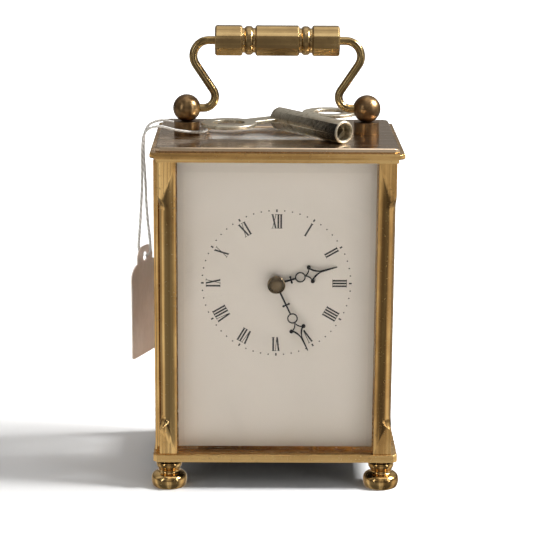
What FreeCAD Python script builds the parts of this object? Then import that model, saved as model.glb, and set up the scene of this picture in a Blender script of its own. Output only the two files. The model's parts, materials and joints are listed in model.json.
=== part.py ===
import FreeCAD, Part
import math
import os
import re

import Sketcher

# A brass carriage clock with a folding handle, glazed on every side, with its key on the top.
# Origin: middle of the footprint on the floor. +X right, +Y to the rear door, +Z up. Millimetres.

Vec = FreeCAD.Vector
ALONG_X = FreeCAD.Rotation(Vec(0, 1, 0), 90)    # turns a piece drawn along +Z to lie along +X
ALONG_Y = FreeCAD.Rotation(Vec(1, 0, 0), -90)   # and along +Y
UPRIGHT = FreeCAD.Rotation()

# ------------------------------------------------------------------ driving sizes

SIZES = {
    # base and feet
    "foot_height": 9.5, "foot_inset_x": 3.0, "foot_inset_y": 3.9, "foot_bulb_radius": 5.95,
    "foot_bulb_height": 2.7, "foot_rim_radius": 5.2, "foot_neck_radius": 3.55,
    "foot_neck_height": 5.4, "foot_bead_radius": 4.25, "foot_bead_height": 7.7,
    "foot_stud_radius": 1.2, "foot_stud_length": 7.5,
    "base_margin_x": 2.1, "base_margin_y": 0.8, "base_thickness": 2.55, "base_corner": 1.35,
    # posts
    "post_width": 5.9, "post_depth": 6.4, "post_length": 98.55, "opening_half_width": 32.6,
    "post_front": 29.5, "post_bevel": 3.0, "side_bevel": 4.0, "side_bevel_lean": 22.0,
    "bevel_foot": 6.0, "bevel_head": 9.0, "bevel_run": 7.0, "bevel_clear": 3.0,
    "bevel_lead": 0.35,
    # glass
    "glass_thickness": 1.6, "glass_bevel": 3.2, "glass_bevel_depth": 0.7,
    "glass_seat": 2.0, "groove_depth": 0.9, "groove_play": 0.1,
    "side_frame_thickness": 1.6, "side_frame_rail": 3.4, "side_frame_bevel": 0.6,
    # cornice and top plate
    "fascia_margin_x": 0.5, "fascia_margin_y": 0.4, "fascia_height": 1.3,
    "lip_margin_x": 2.5, "lip_margin_y": 1.7, "lip_height": 2.0, "lip_round": 0.75,
    "top_inset": 1.8, "top_thickness": 1.5, "top_corner": 1.5,
    "window_width": 47.0, "window_depth": 26.0, "window_ledge": 1.6, "window_play": 0.2,
    "post_screw_radius": 1.0, "post_screw_length": 7.0, "screw_head_radius": 1.9,
    # handle
    "pillar_x": 30.05, "collar_radius": 4.3, "collar_height": 3.9, "ball_radius": 4.6,
    "pivot_height": 8.25, "pillar_stud_radius": 1.5, "nut_height": 2.0, "nut_radius": 3.4,
    "rod_radius": 1.375, "journal_play": 0.05, "lower_bend_x": 24.5, "lower_bend_radius": 3.9,
    "upper_bend_x": 22.6, "upper_bend_radius": 5.2, "grip_rise": 22.6, "grip_flats": 9.7,
    "grip_length": 41.2, "grip_end": 9.1, "grip_groove": 0.6, "grip_bead": 3.0,
    "grip_core_radius": 4.1, "grip_chamfer": 0.5, "grip_bore": 5.5,
    # rear door
    "door_thickness": 2.8, "door_rear": 28.3, "door_play": 0.3, "door_rail": 4.2,
    "hinge_pin_radius": 0.6, "hinge_pin_play": 0.05, "knob_radius": 2.2, "knob_reach": 2.7,
    # dial and hands
    "dial_bottom": 13.1, "dial_centre": 69.5, "dial_thickness": 0.8, "dial_face": 24.0,
    "dial_foot_radius": 1.0, "dial_foot_inset": 3.0, "dial_foot_rise": 26.0,
    "hour_hand_length": 20.7,
    "minute_hand_length": 24.7, "hand_thickness": 0.35, "boss_radius": 3.0,
    "hour_hand_turn": 73.7, "minute_hand_turn": 154.8,
    # movement frame
    "plate_width": 52.0, "plate_top": 97.0, "front_plate_face": -19.0, "plate_thickness": 1.8,
    "back_plate_face": 9.8, "frame_pillar_x": 22.5, "frame_pillar_low": 16.6,
    "frame_pillar_high": 91.5, "frame_pillar_radius": 2.6, "frame_screw_radius": 1.1,
    "pivot_radius": 0.45, "pivot_play": 0.03, "mount_front": 12.0, "mount_rear": 4.0,
    # motion work
    "arbor_radius": 0.7, "cannon_radius": 1.15, "hour_pipe_radius": 1.7, "pipe_play": 0.05,
    "cannon_leaves": 12, "minute_teeth": 36, "motion_module": 0.4,
    "minute_leaves": 10, "hour_teeth": 40,
    # going train
    "barrel_teeth": 96, "barrel_module": 0.35, "drum_radius": 15.2, "drum_length": 15.0,
    "drum_wall": 0.9, "barrel_arbor_radius": 2.4, "square_side": 3.4, "square_reach": 17.0,
    "centre_leaves": 12, "centre_teeth": 80, "centre_module": 0.30,
    "third_leaves": 10, "third_teeth": 75, "third_module": 0.28, "third_direction": 150.0,
    "contrate_leaves": 10, "contrate_teeth": 56, "contrate_radius": 7.5,
    "contrate_direction": 45.0, "escape_leaves": 8,
    "ratchet_teeth": 24, "ratchet_radius": 8.0, "ratchet_thickness": 1.2,
    # platform escapement
    "platform_width": 38.0, "platform_front": 19.8, "platform_rear": 10.6,
    "platform_screw_radius": 0.6,
    "platform_thickness": 1.6, "escape_teeth": 15, "escape_radius": 4.5, "escape_y": 1.35,
    "escape_to_lever": 5.9, "lever_to_balance": 5.2, "escape_line": -56.0,
    "balance_radius": 6.5, "balance_width": 0.9, "balance_rise": 5.0,
    # key
    "key_x": 1.2, "key_y": 6.95, "key_turn": -54.2, "key_pipe_radius": 3.75,
    "key_reach": 35.0, "key_tail": 0.6, "key_mouth_radius": 2.8, "key_mouth_depth": 4.0,
    "key_socket": 3.8, "key_socket_depth": 15.0, "key_hole_spacing": 42.4,
    "key_hole_radius": 5.3, "key_lobe_radius": 9.3, "key_neck": 6.4,
    "key_wing_thickness": 1.2, "key_lift": 0.05,
    # string and tag
    "string_radius": 0.45, "tag_width": 20.0, "tag_height": 38.0, "tag_thickness": 0.5,
    "tag_clear": 3.6, "tag_drop": 38.9, "tag_turn": 67.0, "tag_hole_radius": 1.6,
}

DOC = FreeCAD.newDocument("CarriageClock")
SHEET = DOC.addObject("Spreadsheet::Sheet", "Sizes")
for row, (alias, value) in enumerate(SIZES.items(), start=1):
    SHEET.set(f"A{row}", alias)
    SHEET.set(f"B{row}", str(value))
    SHEET.setAlias(f"B{row}", alias)
DOC.recompute()

# Heights worked out from the driving sizes
BASE_TOP = "(foot_height + base_thickness)"
POST_TOP = f"({BASE_TOP} + post_length)"
LIP_BOTTOM = f"({POST_TOP} + fascia_height)"
CORNICE_TOP = f"({LIP_BOTTOM} + lip_height)"
DECK = f"({CORNICE_TOP} + top_thickness)"
PIVOT = f"({DECK} + pivot_height)"
POST_X = "(opening_half_width + post_width / 2)"
POST_Y = "(post_front - post_depth / 2)"

# Half widths and half depths that follow the posts
OUTER_X = "(opening_half_width + post_width)"
BASE_X, BASE_Y = f"({OUTER_X} + base_margin_x)", "(post_front + base_margin_y)"
FASCIA_X, FASCIA_Y = f"({OUTER_X} + fascia_margin_x)", "(post_front + fascia_margin_y)"
LIP_X, LIP_Y = f"({OUTER_X} + lip_margin_x)", "(post_front + lip_margin_y)"
TOP_X, TOP_Y = f"({LIP_X} - top_inset)", f"({LIP_Y} - top_inset)"
FOOT_X, FOOT_Y = f"({OUTER_X} - foot_inset_x)", "(post_front - foot_inset_y)"

NODES = []


def formula(text):
    """The expression with every size name pointed at the sheet."""
    return re.sub(r"[a-z_]+[a-z]", lambda m: "Sizes." + m[0] if m[0] in SIZES else m[0], text)


def number(text):
    """The value of an expression of size names."""
    value = SHEET.evalExpression(formula(text))
    return float(getattr(value, "Value", value))


def keep(item, label):
    """Makes the object a sub-part: its label names the node and its file."""
    item.Label = label
    NODES.append(item)
    return item


# ------------------------------------------------------------------ small makers

def bound(kind, name, sizes, at=("0", "0", "0"), turn=UPRIGHT):
    """A Part primitive with its sizes and place bound to the sheet."""
    item = DOC.addObject(kind, name)
    item.Placement = FreeCAD.Placement(Vec(), turn)
    for prop, text in sizes.items():
        item.setExpression(prop, formula(text))
    for letter, text in zip("xyz", at):
        item.setExpression("Placement.Base." + letter, formula(text))
    return item


def cylinder(name, radius, height, at=("0", "0", "0"), turn=UPRIGHT):
    return bound("Part::Cylinder", name, {"Radius": radius, "Height": height}, at, turn)


def cone(name, low, high, height, at=("0", "0", "0"), turn=UPRIGHT):
    return bound("Part::Cone", name, {"Radius1": low, "Radius2": high, "Height": height}, at, turn)


def block(name, length, width, height, at=("0", "0", "0")):
    return bound("Part::Box", name, {"Length": length, "Width": width, "Height": height}, at)


def ball(name, radius, at):
    return bound("Part::Sphere", name, {"Radius": radius}, at)


def fuse(name, items):
    item = DOC.addObject("Part::MultiFuse", name)
    item.Shapes = items
    return item


def cut(name, base, tools):
    item = DOC.addObject("Part::Cut", name)
    item.Base = base
    item.Tool = tools[0] if len(tools) == 1 else fuse(name + "_tools", tools)
    return item


def group(name, items):
    item = DOC.addObject("Part::Compound", name)
    item.Links = items
    return item


def shaped(name, shape, at=(0, 0, 0), turn=UPRIGHT):
    """A Part::Feature for a shape that no primitive or sketch suits."""
    item = DOC.addObject("Part::Feature", name)
    item.Shape = shape.removeSplitter()
    item.Placement = FreeCAD.Placement(Vec(*at), turn)
    return item


def new_sketch(body, role, offset="0"):
    """A sketch on one of the body's own origin planes, moved off it by an expression."""
    sketch = body.newObject("Sketcher::SketchObject", body.Name + "_sketch")
    plane = next(item for item in body.Origin.OriginFeatures if item.Role == role)
    sketch.AttachmentSupport = [(plane, "")]
    sketch.MapMode = "FlatFace"
    sketch.setExpression("AttachmentOffset.Base.z", formula(offset))
    return sketch


def pin_point(sketch, curve, point, x, y):
    """Fixes a point of the sketch at (x, y) from its origin, both bound to the sheet."""
    for kind, text in (("DistanceX", x), ("DistanceY", y)):
        index = sketch.addConstraint(Sketcher.Constraint(kind, -1, 1, curve, point, number(text)))
        sketch.setExpression(f"Constraints[{index}]", formula(text))


def outline(sketch, corners):
    """A closed outline through corners given as pairs of expressions."""
    places = [Vec(number(x), number(y), 0) for x, y in corners]
    first = sketch.GeometryCount
    count = len(corners)
    for index in range(count):
        sketch.addGeometry(Part.LineSegment(places[index], places[(index + 1) % count]))
    for index in range(count):
        after = first + (index + 1) % count
        sketch.addConstraint(Sketcher.Constraint("Coincident", first + index, 2, after, 1))
    for index, (x, y) in enumerate(corners):
        pin_point(sketch, first + index, 1, x, y)


def rectangle(sketch, left, right, low, high):
    outline(sketch, [(left, low), (right, low), (right, high), (left, high)])


def centred(sketch, half_width, half_depth):
    rectangle(sketch, f"-{half_width}", half_width, f"-{half_depth}", half_depth)


def circle(sketch, radius, x, y):
    curve = sketch.addGeometry(Part.Circle(Vec(number(x), number(y), 0), Vec(0, 0, 1), number(radius)))
    index = sketch.addConstraint(Sketcher.Constraint("Radius", curve, number(radius)))
    sketch.setExpression(f"Constraints[{index}]", formula(radius))
    pin_point(sketch, curve, 3, x, y)


def pad(body, sketch, length, reverse=False):
    item = body.newObject("PartDesign::Pad", body.Name + "_pad")
    item.Profile = sketch
    item.setExpression("Length", formula(length))
    item.Reversed = reverse
    body.Tip = item
    return item


def pocket(body, sketch, length, reverse=False):
    item = body.newObject("PartDesign::Pocket", body.Name + "_pocket")
    item.Profile = sketch
    item.setExpression("Length", formula(length))
    item.Reversed = reverse
    body.Tip = item
    return item


def dress(body, kind, amount, wanted):
    """A fillet or chamfer on the edges of the body's tip that wanted() picks."""
    DOC.recompute()
    base = body.Tip
    names = [f"Edge{i}" for i, edge in enumerate(base.Shape.Edges, start=1) if wanted(edge)]
    item = body.newObject("PartDesign::" + kind, body.Name + "_" + kind.lower())
    item.Base = (base, names)
    item.setExpression("Radius" if kind == "Fillet" else "Size", formula(amount))
    body.Tip = item
    return item


def upright_at(x, y):
    """Picks the upright edges that stand at (±x, ±y)."""
    return lambda edge: (edge.BoundBox.ZLength > 0.5 and abs(abs(edge.BoundBox.Center.x) - x) < 0.01
                         and abs(abs(edge.BoundBox.Center.y) - y) < 0.01)


def level_at(z, least_x):
    """Picks the level edges at height z that reach out past least_x from the middle."""
    return lambda edge: (abs(edge.BoundBox.ZMin - z) < 0.01 and edge.BoundBox.ZLength < 0.01
                         and max(abs(edge.BoundBox.XMin), abs(edge.BoundBox.XMax)) > least_x)


CORNERS = [(side, face) for side in (-1, 1) for face in (-1, 1)]
SIDE_NAME = {-1: "left", 1: "right"}
FACE_NAME = {-1: "front", 1: "rear"}
MOUNT_Y = {-1: "-mount_front", 1: "mount_rear"}

# ------------------------------------------------------------------ feet and base


def make_feet():
    feet = []
    for side, face in CORNERS:
        x, y = f"{side} * {FOOT_X}", f"{face} * {FOOT_Y}"
        name = f"foot_{SIDE_NAME[side]}_{FACE_NAME[face]}"
        stack = [
            cone(name + "_rim", "foot_rim_radius", "foot_bulb_radius - 0.15",
                 "foot_bulb_height * 0.55", (x, y, "0")),
            bound("Part::Torus", name + "_bulb",
                  {"Radius1": "foot_bulb_radius - foot_bulb_height * 0.7",
                   "Radius2": "foot_bulb_height * 0.7"}, (x, y, "foot_bulb_height")),
            cone(name + "_waist", "foot_bulb_radius - 0.6", "foot_neck_radius",
                 "foot_neck_height - foot_bulb_height - 0.5", (x, y, "foot_bulb_height + 0.5")),
            cylinder(name + "_core", "foot_neck_radius", "foot_height", (x, y, "0")),
            bound("Part::Torus", name + "_bead",
                  {"Radius1": "foot_bead_radius - 0.9", "Radius2": "0.9"},
                  (x, y, "foot_bead_height")),
            cylinder(name + "_stud", "foot_stud_radius", "foot_stud_length + base_thickness",
                     (x, y, "foot_height")),
        ]
        feet.append(fuse(name, stack))
    keep(group("feet_set", feet), "feet")


def make_base():
    body = DOC.addObject("PartDesign::Body", "base_plate")
    sketch = new_sketch(body, "XY_Plane", "foot_height")
    centred(sketch, BASE_X, BASE_Y)
    for side, face in CORNERS:
        circle(sketch, "foot_stud_radius", f"{side} * {FOOT_X}", f"{face} * {FOOT_Y}")
        circle(sketch, "frame_screw_radius", f"{side} * frame_pillar_x", MOUNT_Y[face])
    circle(sketch, "hinge_pin_radius + hinge_pin_play", DOOR_AXIS_X, DOOR_AXIS_Y)
    pad(body, sketch, "base_thickness")
    dress(body, "Chamfer", "base_corner", upright_at(number(BASE_X), number(BASE_Y)))
    dress(body, "Fillet", "0.3", level_at(number(BASE_TOP), number(POST_X)))
    keep(body, "base_plate")


# ------------------------------------------------------------------ posts

def bevel_cutter(depth):
    """A stopped bevel of a post's outer corner, ending in lamb's-tongue curves.

    Drawn in a plane through the corner: u runs in from the corner, z up the post.
    """
    low, high = number("bevel_foot"), number("post_length - bevel_head")
    run, out, start = number("bevel_run"), -number("bevel_clear"), -number("bevel_lead")
    width = 2 * number("post_depth")

    def tongue(z_flat, z_full):
        middle = (z_flat + z_full) / 2
        curve = Part.BezierCurve()
        curve.setPoles([Vec(start, 0, z_flat), Vec(start, 0, middle),
                        Vec(depth, 0, middle), Vec(depth, 0, z_full)])
        return curve.toShape()

    def line(u1, z1, u2, z2):
        return Part.makeLine(Vec(u1, 0, z1), Vec(u2, 0, z2))

    wire = Part.Wire([line(out, low, start, low), tongue(low, low + run),
                      line(depth, low + run, depth, high - run), tongue(high, high - run),
                      line(start, high, out, high), line(out, high, out, low)])
    solid = Part.Face(wire).extrude(Vec(0, width, 0))
    solid.translate(Vec(0, -width / 2, 0))
    return solid


def make_post(side, face):
    """A corner post: square blocks at its ends, a stopped bevel, and grooves for the glass."""
    name = f"{FACE_NAME[face]}_{SIDE_NAME[side]}_post"
    body = DOC.addObject("PartDesign::Body", name + "_bar")
    sketch = new_sketch(body, "XY_Plane", BASE_TOP)
    inner, outer = "opening_half_width", OUTER_X
    back, front = "(post_front - post_depth)", "post_front"
    side_in = "(opening_half_width + post_width - (glass_seat - glass_thickness) - glass_thickness - groove_play)"
    side_out = "(opening_half_width + post_width - (glass_seat - glass_thickness) + groove_play)"
    front_in = "(post_front - (glass_seat - glass_thickness) - glass_thickness - groove_play)"
    front_out = "(post_front - (glass_seat - glass_thickness) + groove_play)"
    corners = [(inner, back), (side_in, back), (side_in, f"{back} + groove_depth"),
               (side_out, f"{back} + groove_depth"), (side_out, back), (outer, back),
               (outer, front), (inner, front)]
    if face == -1:
        corners += [(inner, front_out), (f"{inner} + groove_depth", front_out),
                    (f"{inner} + groove_depth", front_in), (inner, front_in)]
    outline(sketch, [(f"{side} * ({x})", f"{face} * ({y})") for x, y in corners])
    pad(body, sketch, "post_length")
    foot_hole = new_sketch(body, "XY_Plane", BASE_TOP)
    circle(foot_hole, "foot_stud_radius", f"{side} * {FOOT_X}", f"{face} * {FOOT_Y}")
    pocket(body, foot_hole, "foot_stud_length", reverse=True)
    head_hole = new_sketch(body, "XY_Plane", POST_TOP)
    circle(head_hole, "post_screw_radius", f"{side} * {POST_X}", f"{face} * {POST_Y}")
    pocket(body, head_hole, "post_screw_length")
    inward = math.degrees(math.atan2(-face, -side))
    corner = (side * number(outer), face * number("post_front"), number(BASE_TOP))
    main_depth = number("post_bevel") * math.sin(math.radians(45))
    lean = number("side_bevel_lean")
    slight_depth = number("side_bevel") * math.sin(math.radians(lean))
    bevels = []
    for label, depth, swing in (("main", main_depth, 0), ("front", slight_depth, 45 - lean),
                                ("side", slight_depth, lean - 45)):
        turn = FreeCAD.Rotation(Vec(0, 0, 1), inward + swing)
        bevels.append(shaped(f"{name}_{label}_bevel", bevel_cutter(depth), corner, turn))
    keep(cut(name + "_cut", body, bevels), name)


# ------------------------------------------------------------------ glass

def bevelled_pane(name, width, height, at, turn):
    """A pane drawn in the XZ plane, its bevelled side towards -Y at y = 0."""
    slab = block(name + "_slab", width, "glass_thickness - glass_bevel_depth", height,
                 (f"-{width} / 2", "glass_bevel_depth", "0"))
    face = bound("Part::Wedge", name + "_face",
                 {"Xmin": f"-{width} / 2 + glass_bevel", "Xmax": f"{width} / 2 - glass_bevel",
                  "Zmin": "glass_bevel", "Zmax": f"{height} - glass_bevel",
                  "Ymin": "0", "Ymax": "glass_bevel_depth",
                  "X2min": f"-{width} / 2", "X2max": f"{width} / 2",
                  "Z2min": "0", "Z2max": height})
    pane = fuse(name + "_pane", [slab, face])
    pane.Placement = FreeCAD.Placement(Vec(), turn)
    for letter, text in zip("xyz", at):
        pane.setExpression("Placement.Base." + letter, formula(text))
    return pane


def make_panes():
    height = "(post_length - groove_play)"
    front_width = "2 * (opening_half_width + groove_depth - groove_play)"
    side_width = "2 * (post_front - post_depth + groove_depth - groove_play)"
    face = "(post_front - (glass_seat - glass_thickness))"
    keep(bevelled_pane("front_glass", f"({front_width})", height,
                       ("0", f"-{face}", BASE_TOP), UPRIGHT), "front_glass")
    reach = "(opening_half_width + post_width - (glass_seat - glass_thickness))"
    for side in (-1, 1):
        name = f"{SIDE_NAME[side]}_glass"
        turn = FreeCAD.Rotation(Vec(0, 0, 1), side * 90)
        keep(bevelled_pane(name, f"({side_width})", height,
                           (f"{side} * {reach}", "0", BASE_TOP), turn), name)


def make_side_frame():
    """A thin brass glazing frame on the outside of the left pane, between base and cornice."""
    body = DOC.addObject("PartDesign::Body", "side_frame")
    sketch = new_sketch(body, "YZ_Plane", f"-{OUTER_X}")
    reach = "(post_front - side_bevel)"
    rectangle(sketch, f"-{reach}", reach, BASE_TOP, POST_TOP)
    rectangle(sketch, f"-{reach} + side_frame_rail", f"{reach} - side_frame_rail",
              f"{BASE_TOP} + side_frame_rail", f"{POST_TOP} - side_frame_rail")
    pad(body, sketch, "side_frame_thickness", reverse=True)
    outside = -number(f"{OUTER_X} + side_frame_thickness")
    dress(body, "Chamfer", "side_frame_bevel",
          lambda edge: edge.BoundBox.XMax < outside + 0.01 and edge.BoundBox.ZLength > 1)
    keep(body, "left_side_frame")


# ------------------------------------------------------------------ cornice and top

def make_cornice():
    body = DOC.addObject("PartDesign::Body", "cornice")
    fascia = new_sketch(body, "XY_Plane", POST_TOP)
    centred(fascia, FASCIA_X, FASCIA_Y)
    pad(body, fascia, "fascia_height")
    lip = new_sketch(body, "XY_Plane", LIP_BOTTOM)
    centred(lip, LIP_X, LIP_Y)
    pad(body, lip, "lip_height")
    dress(body, "Chamfer", "top_corner", upright_at(number(LIP_X), number(LIP_Y)))
    edge = number(FASCIA_X) + 0.5
    low, high = number(LIP_BOTTOM), number(CORNICE_TOP)
    lower, upper = level_at(low, edge), level_at(high, edge)
    dress(body, "Fillet", "lip_round", lambda item: lower(item) or upper(item))
    light = new_sketch(body, "XY_Plane", CORNICE_TOP)
    centred(light, "(window_width / 2 - window_ledge)", "(window_depth / 2 - window_ledge)")
    pocket(body, light, "lip_height + fascia_height")
    seat = new_sketch(body, "XY_Plane", CORNICE_TOP)
    centred(seat, "(window_width / 2 + window_ledge + window_play)",
            "(window_depth / 2 + window_ledge + window_play)")
    pocket(body, seat, "glass_thickness")
    holes = new_sketch(body, "XY_Plane", CORNICE_TOP)
    for side, face in CORNERS:
        circle(holes, "post_screw_radius", f"{side} * {POST_X}", f"{face} * {POST_Y}")
    for side in (-1, 1):
        circle(holes, "pillar_stud_radius", f"{side} * pillar_x", "0")
    pocket(body, holes, "lip_height + fascia_height")
    sinks = new_sketch(body, "XY_Plane", CORNICE_TOP)
    for side, face in CORNERS:
        circle(sinks, "screw_head_radius + 0.1", f"{side} * {POST_X}", f"{face} * {POST_Y}")
    pocket(body, sinks, "glass_thickness")
    pin_hole = new_sketch(body, "XY_Plane", POST_TOP)
    circle(pin_hole, "hinge_pin_radius + hinge_pin_play", DOOR_AXIS_X, DOOR_AXIS_Y)
    pocket(body, pin_hole, "glass_thickness", reverse=True)
    keep(body, "cornice")


def make_post_screws():
    screws = []
    for side, face in CORNERS:
        name = f"post_screw_{SIDE_NAME[side]}_{FACE_NAME[face]}"
        at = (f"{side} * {POST_X}", f"{face} * {POST_Y}")
        head = cylinder(name + "_head", "screw_head_radius", "glass_thickness - 0.2",
                        at + (f"{CORNICE_TOP} - glass_thickness",))
        shank = cylinder(name + "_shank", "post_screw_radius",
                         "post_screw_length - 0.5 + lip_height + fascia_height - glass_thickness",
                         at + (f"{POST_TOP} - post_screw_length + 0.5",))
        slot = block(name + "_slot", "2 * screw_head_radius", "0.5", "0.6",
                     (f"{at[0]} - screw_head_radius", f"{at[1]} - 0.25", f"{CORNICE_TOP} - 0.8"))
        screws.append(cut(name, fuse(name + "_blank", [head, shank]), [slot]))
    keep(group("post_screw_set", screws), "post_screws")


def make_top_plate():
    body = DOC.addObject("PartDesign::Body", "top_plate")
    sketch = new_sketch(body, "XY_Plane", CORNICE_TOP)
    centred(sketch, TOP_X, TOP_Y)
    centred(sketch, "(window_width / 2)", "(window_depth / 2)")
    for side in (-1, 1):
        circle(sketch, "pillar_stud_radius", f"{side} * pillar_x", "0")
    pad(body, sketch, "top_thickness")
    dress(body, "Chamfer", "top_corner", upright_at(number(TOP_X), number(TOP_Y)))
    deck = number(DECK)
    window, far = number("window_width") / 2 - 0.01, number("pillar_x") - number("pillar_stud_radius")
    outer = level_at(deck, number("pillar_x") + 4)
    rim = level_at(deck, window)
    dress(body, "Chamfer", "0.4",
          lambda edge: outer(edge) or (rim(edge) and edge.BoundBox.XMax < far and edge.BoundBox.XMin > -far))
    keep(body, "top_plate")


def make_top_glass():
    body = DOC.addObject("PartDesign::Body", "top_glass")
    slab = new_sketch(body, "XY_Plane", f"{CORNICE_TOP} - glass_thickness")
    centred(slab, "(window_width / 2 + window_ledge)", "(window_depth / 2 + window_ledge)")
    pad(body, slab, "glass_thickness")
    crown = new_sketch(body, "XY_Plane", f"{CORNICE_TOP} - glass_thickness / 2")
    centred(crown, "(window_width / 2 - window_play)", "(window_depth / 2 - window_play)")
    pad(body, crown, "glass_thickness / 2 + top_thickness - 0.4")
    top = number(DECK) - 0.4
    dress(body, "Chamfer", "0.9", level_at(top, 0.0))
    keep(body, "top_glass")


# ------------------------------------------------------------------ handle

def make_pillars():
    pillars, nuts = [], []
    for side in (-1, 1):
        name = f"pillar_{SIDE_NAME[side]}"
        x = f"{side} * pillar_x"
        stud_low = f"{POST_TOP} - nut_height - 0.6"
        stack = fuse(name + "_blank", [
            cylinder(name + "_collar", "collar_radius", "collar_height", (x, "0", DECK)),
            ball(name + "_ball", "ball_radius", (x, "0", PIVOT)),
            cylinder(name + "_stud", "pillar_stud_radius", f"{DECK} + 0.5 - ({stud_low})",
                     (x, "0", stud_low))])
        start = "pillar_x - ball_radius - 1" if side == 1 else "-pillar_x - 1.5"
        bore = cylinder(name + "_bore", "rod_radius + journal_play", "ball_radius + 2.5",
                        (start, "0", PIVOT), ALONG_X)
        pillars.append(cut(name, stack, [bore]))
        hexagon = bound("Part::Prism", name + "_hexagon",
                        {"Circumradius": "nut_radius", "Height": "nut_height"},
                        (x, "0", f"{POST_TOP} - nut_height"))
        hole = cylinder(name + "_nut_hole", "pillar_stud_radius", "nut_height + 2",
                        (x, "0", f"{POST_TOP} - nut_height - 1"))
        nuts.append(cut(name + "_nut", hexagon, [hole]))
    keep(group("pillar_set", pillars), "handle_pillars")
    keep(group("nut_set", nuts), "pillar_nuts")


def arm_path(side):
    """Rod centre line of an arm in the XZ plane: journal, lower bend, upper bend, tenon."""
    pivot, low, high = number(PIVOT), number("lower_bend_radius"), number("upper_bend_radius")
    first = (number("lower_bend_x"), pivot + low)
    second = (number("upper_bend_x"), pivot + number("grip_rise") - high)
    # The rod crosses from the inner side of the lower bend to the outer side of the upper one
    span = math.dist(first, second)
    heading = math.atan2(second[1] - first[1], second[0] - first[0])
    heading -= math.asin((low + high) / span)

    def on(centre, radius, angle):
        return Vec(side * (centre[0] + radius * math.cos(angle)), 0,
                   centre[1] + radius * math.sin(angle))

    leave, meet = heading + math.pi / 2, heading - math.pi / 2
    mid_low = (1.5 * math.pi + leave) / 2
    mid_high = (meet + math.pi / 2) / 2
    start = Vec(side * (number("pillar_x") + 1.2), 0, pivot)
    bend_in = on(first, low, -math.pi / 2)
    bend_out = on(first, low, leave)
    turn_in = on(second, high, meet)
    turn_out = on(second, high, math.pi / 2)
    end = Vec(side * (number("grip_length") / 2 - number("grip_bore") + 0.3), 0, turn_out.z)
    return Part.Wire([
        Part.makeLine(start, bend_in),
        Part.Arc(bend_in, on(first, low, mid_low), bend_out).toShape(),
        Part.makeLine(bend_out, turn_in),
        Part.Arc(turn_in, on(second, high, mid_high), turn_out).toShape(),
        Part.makeLine(turn_out, end)])


def make_arms():
    for side in (-1, 1):
        path = arm_path(side)
        start = path.OrderedVertexes[0].Point
        section = Part.Wire(Part.makeCircle(number("rod_radius"), start, Vec(1, 0, 0)))
        rod = path.makePipeShell([section], True, False)
        name = f"{SIDE_NAME[side]}_handle_arm"
        keep(shaped(name, rod), name)


def make_grip():
    """An octagonal bar in three lengths with two turned beads between them."""
    height = f"{PIVOT} + grip_rise"
    half, apothem = "grip_length / 2", "grip_flats / 2"
    turn = ALONG_X.multiply(FreeCAD.Rotation(Vec(0, 0, 1), 22.5))
    middle = "(grip_length / 2 - grip_end - 2 * grip_groove - grip_bead)"
    bars = []
    for name, start, length in (("left", f"-{half}", "grip_end"), ("mid", f"-{middle}", f"2 * {middle}"),
                                ("right", f"{half} - grip_end", "grip_end")):
        bar = bound("Part::Prism", f"grip_{name}_bar",
                    {"Circumradius": f"{apothem} / cos(22.5)", "Height": length},
                    (start, "0", height), turn)
        bar.Polygon = 8
        DOC.recompute()
        ends = DOC.addObject("Part::Chamfer", f"grip_{name}")
        ends.Base = bar
        amount = number("grip_chamfer")
        ends.Edges = [(index, amount, amount) for index, edge in enumerate(bar.Shape.Edges, start=1)
                      if edge.BoundBox.XLength < 0.01]
        bars.append(ends)
    for side in (-1, 1):
        start = f"{half} - grip_end - grip_groove - grip_bead" if side == 1 else \
            f"-{half} + grip_end + grip_groove"
        bead = cylinder(f"grip_{SIDE_NAME[side]}_ring", f"{apothem} - 0.05", "grip_bead",
                        (start, "0", height), ALONG_X)
        DOC.recompute()
        rounded = DOC.addObject("Part::Fillet", f"grip_{SIDE_NAME[side]}_bead")
        rounded.Base = bead
        amount = number("grip_bead") * 0.4
        rounded.Edges = [(index, amount, amount) for index, edge in enumerate(bead.Shape.Edges, start=1)
                         if edge.BoundBox.XLength < 0.01]
        bars.append(rounded)
    core = cylinder("grip_core", "grip_core_radius", "grip_length - 0.4",
                    (f"-{half} + 0.2", "0", height), ALONG_X)
    bores = [cylinder("grip_bore_left", "rod_radius", "grip_bore", (f"-{half}", "0", height), ALONG_X),
             cylinder("grip_bore_right", "rod_radius", "grip_bore",
                      (f"{half} - grip_bore", "0", height), ALONG_X)]
    keep(cut("grip", fuse("grip_blank", bars + [core]), bores), "handle_grip")


# ------------------------------------------------------------------ rear door

DOOR_AXIS_X = "(opening_half_width - door_play - door_thickness / 2)"
DOOR_AXIS_Y = "(door_rear - door_thickness / 2)"
DOOR_LOW = f"({BASE_TOP} + door_play)"
DOOR_HIGH = f"({POST_TOP} - door_play)"


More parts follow.
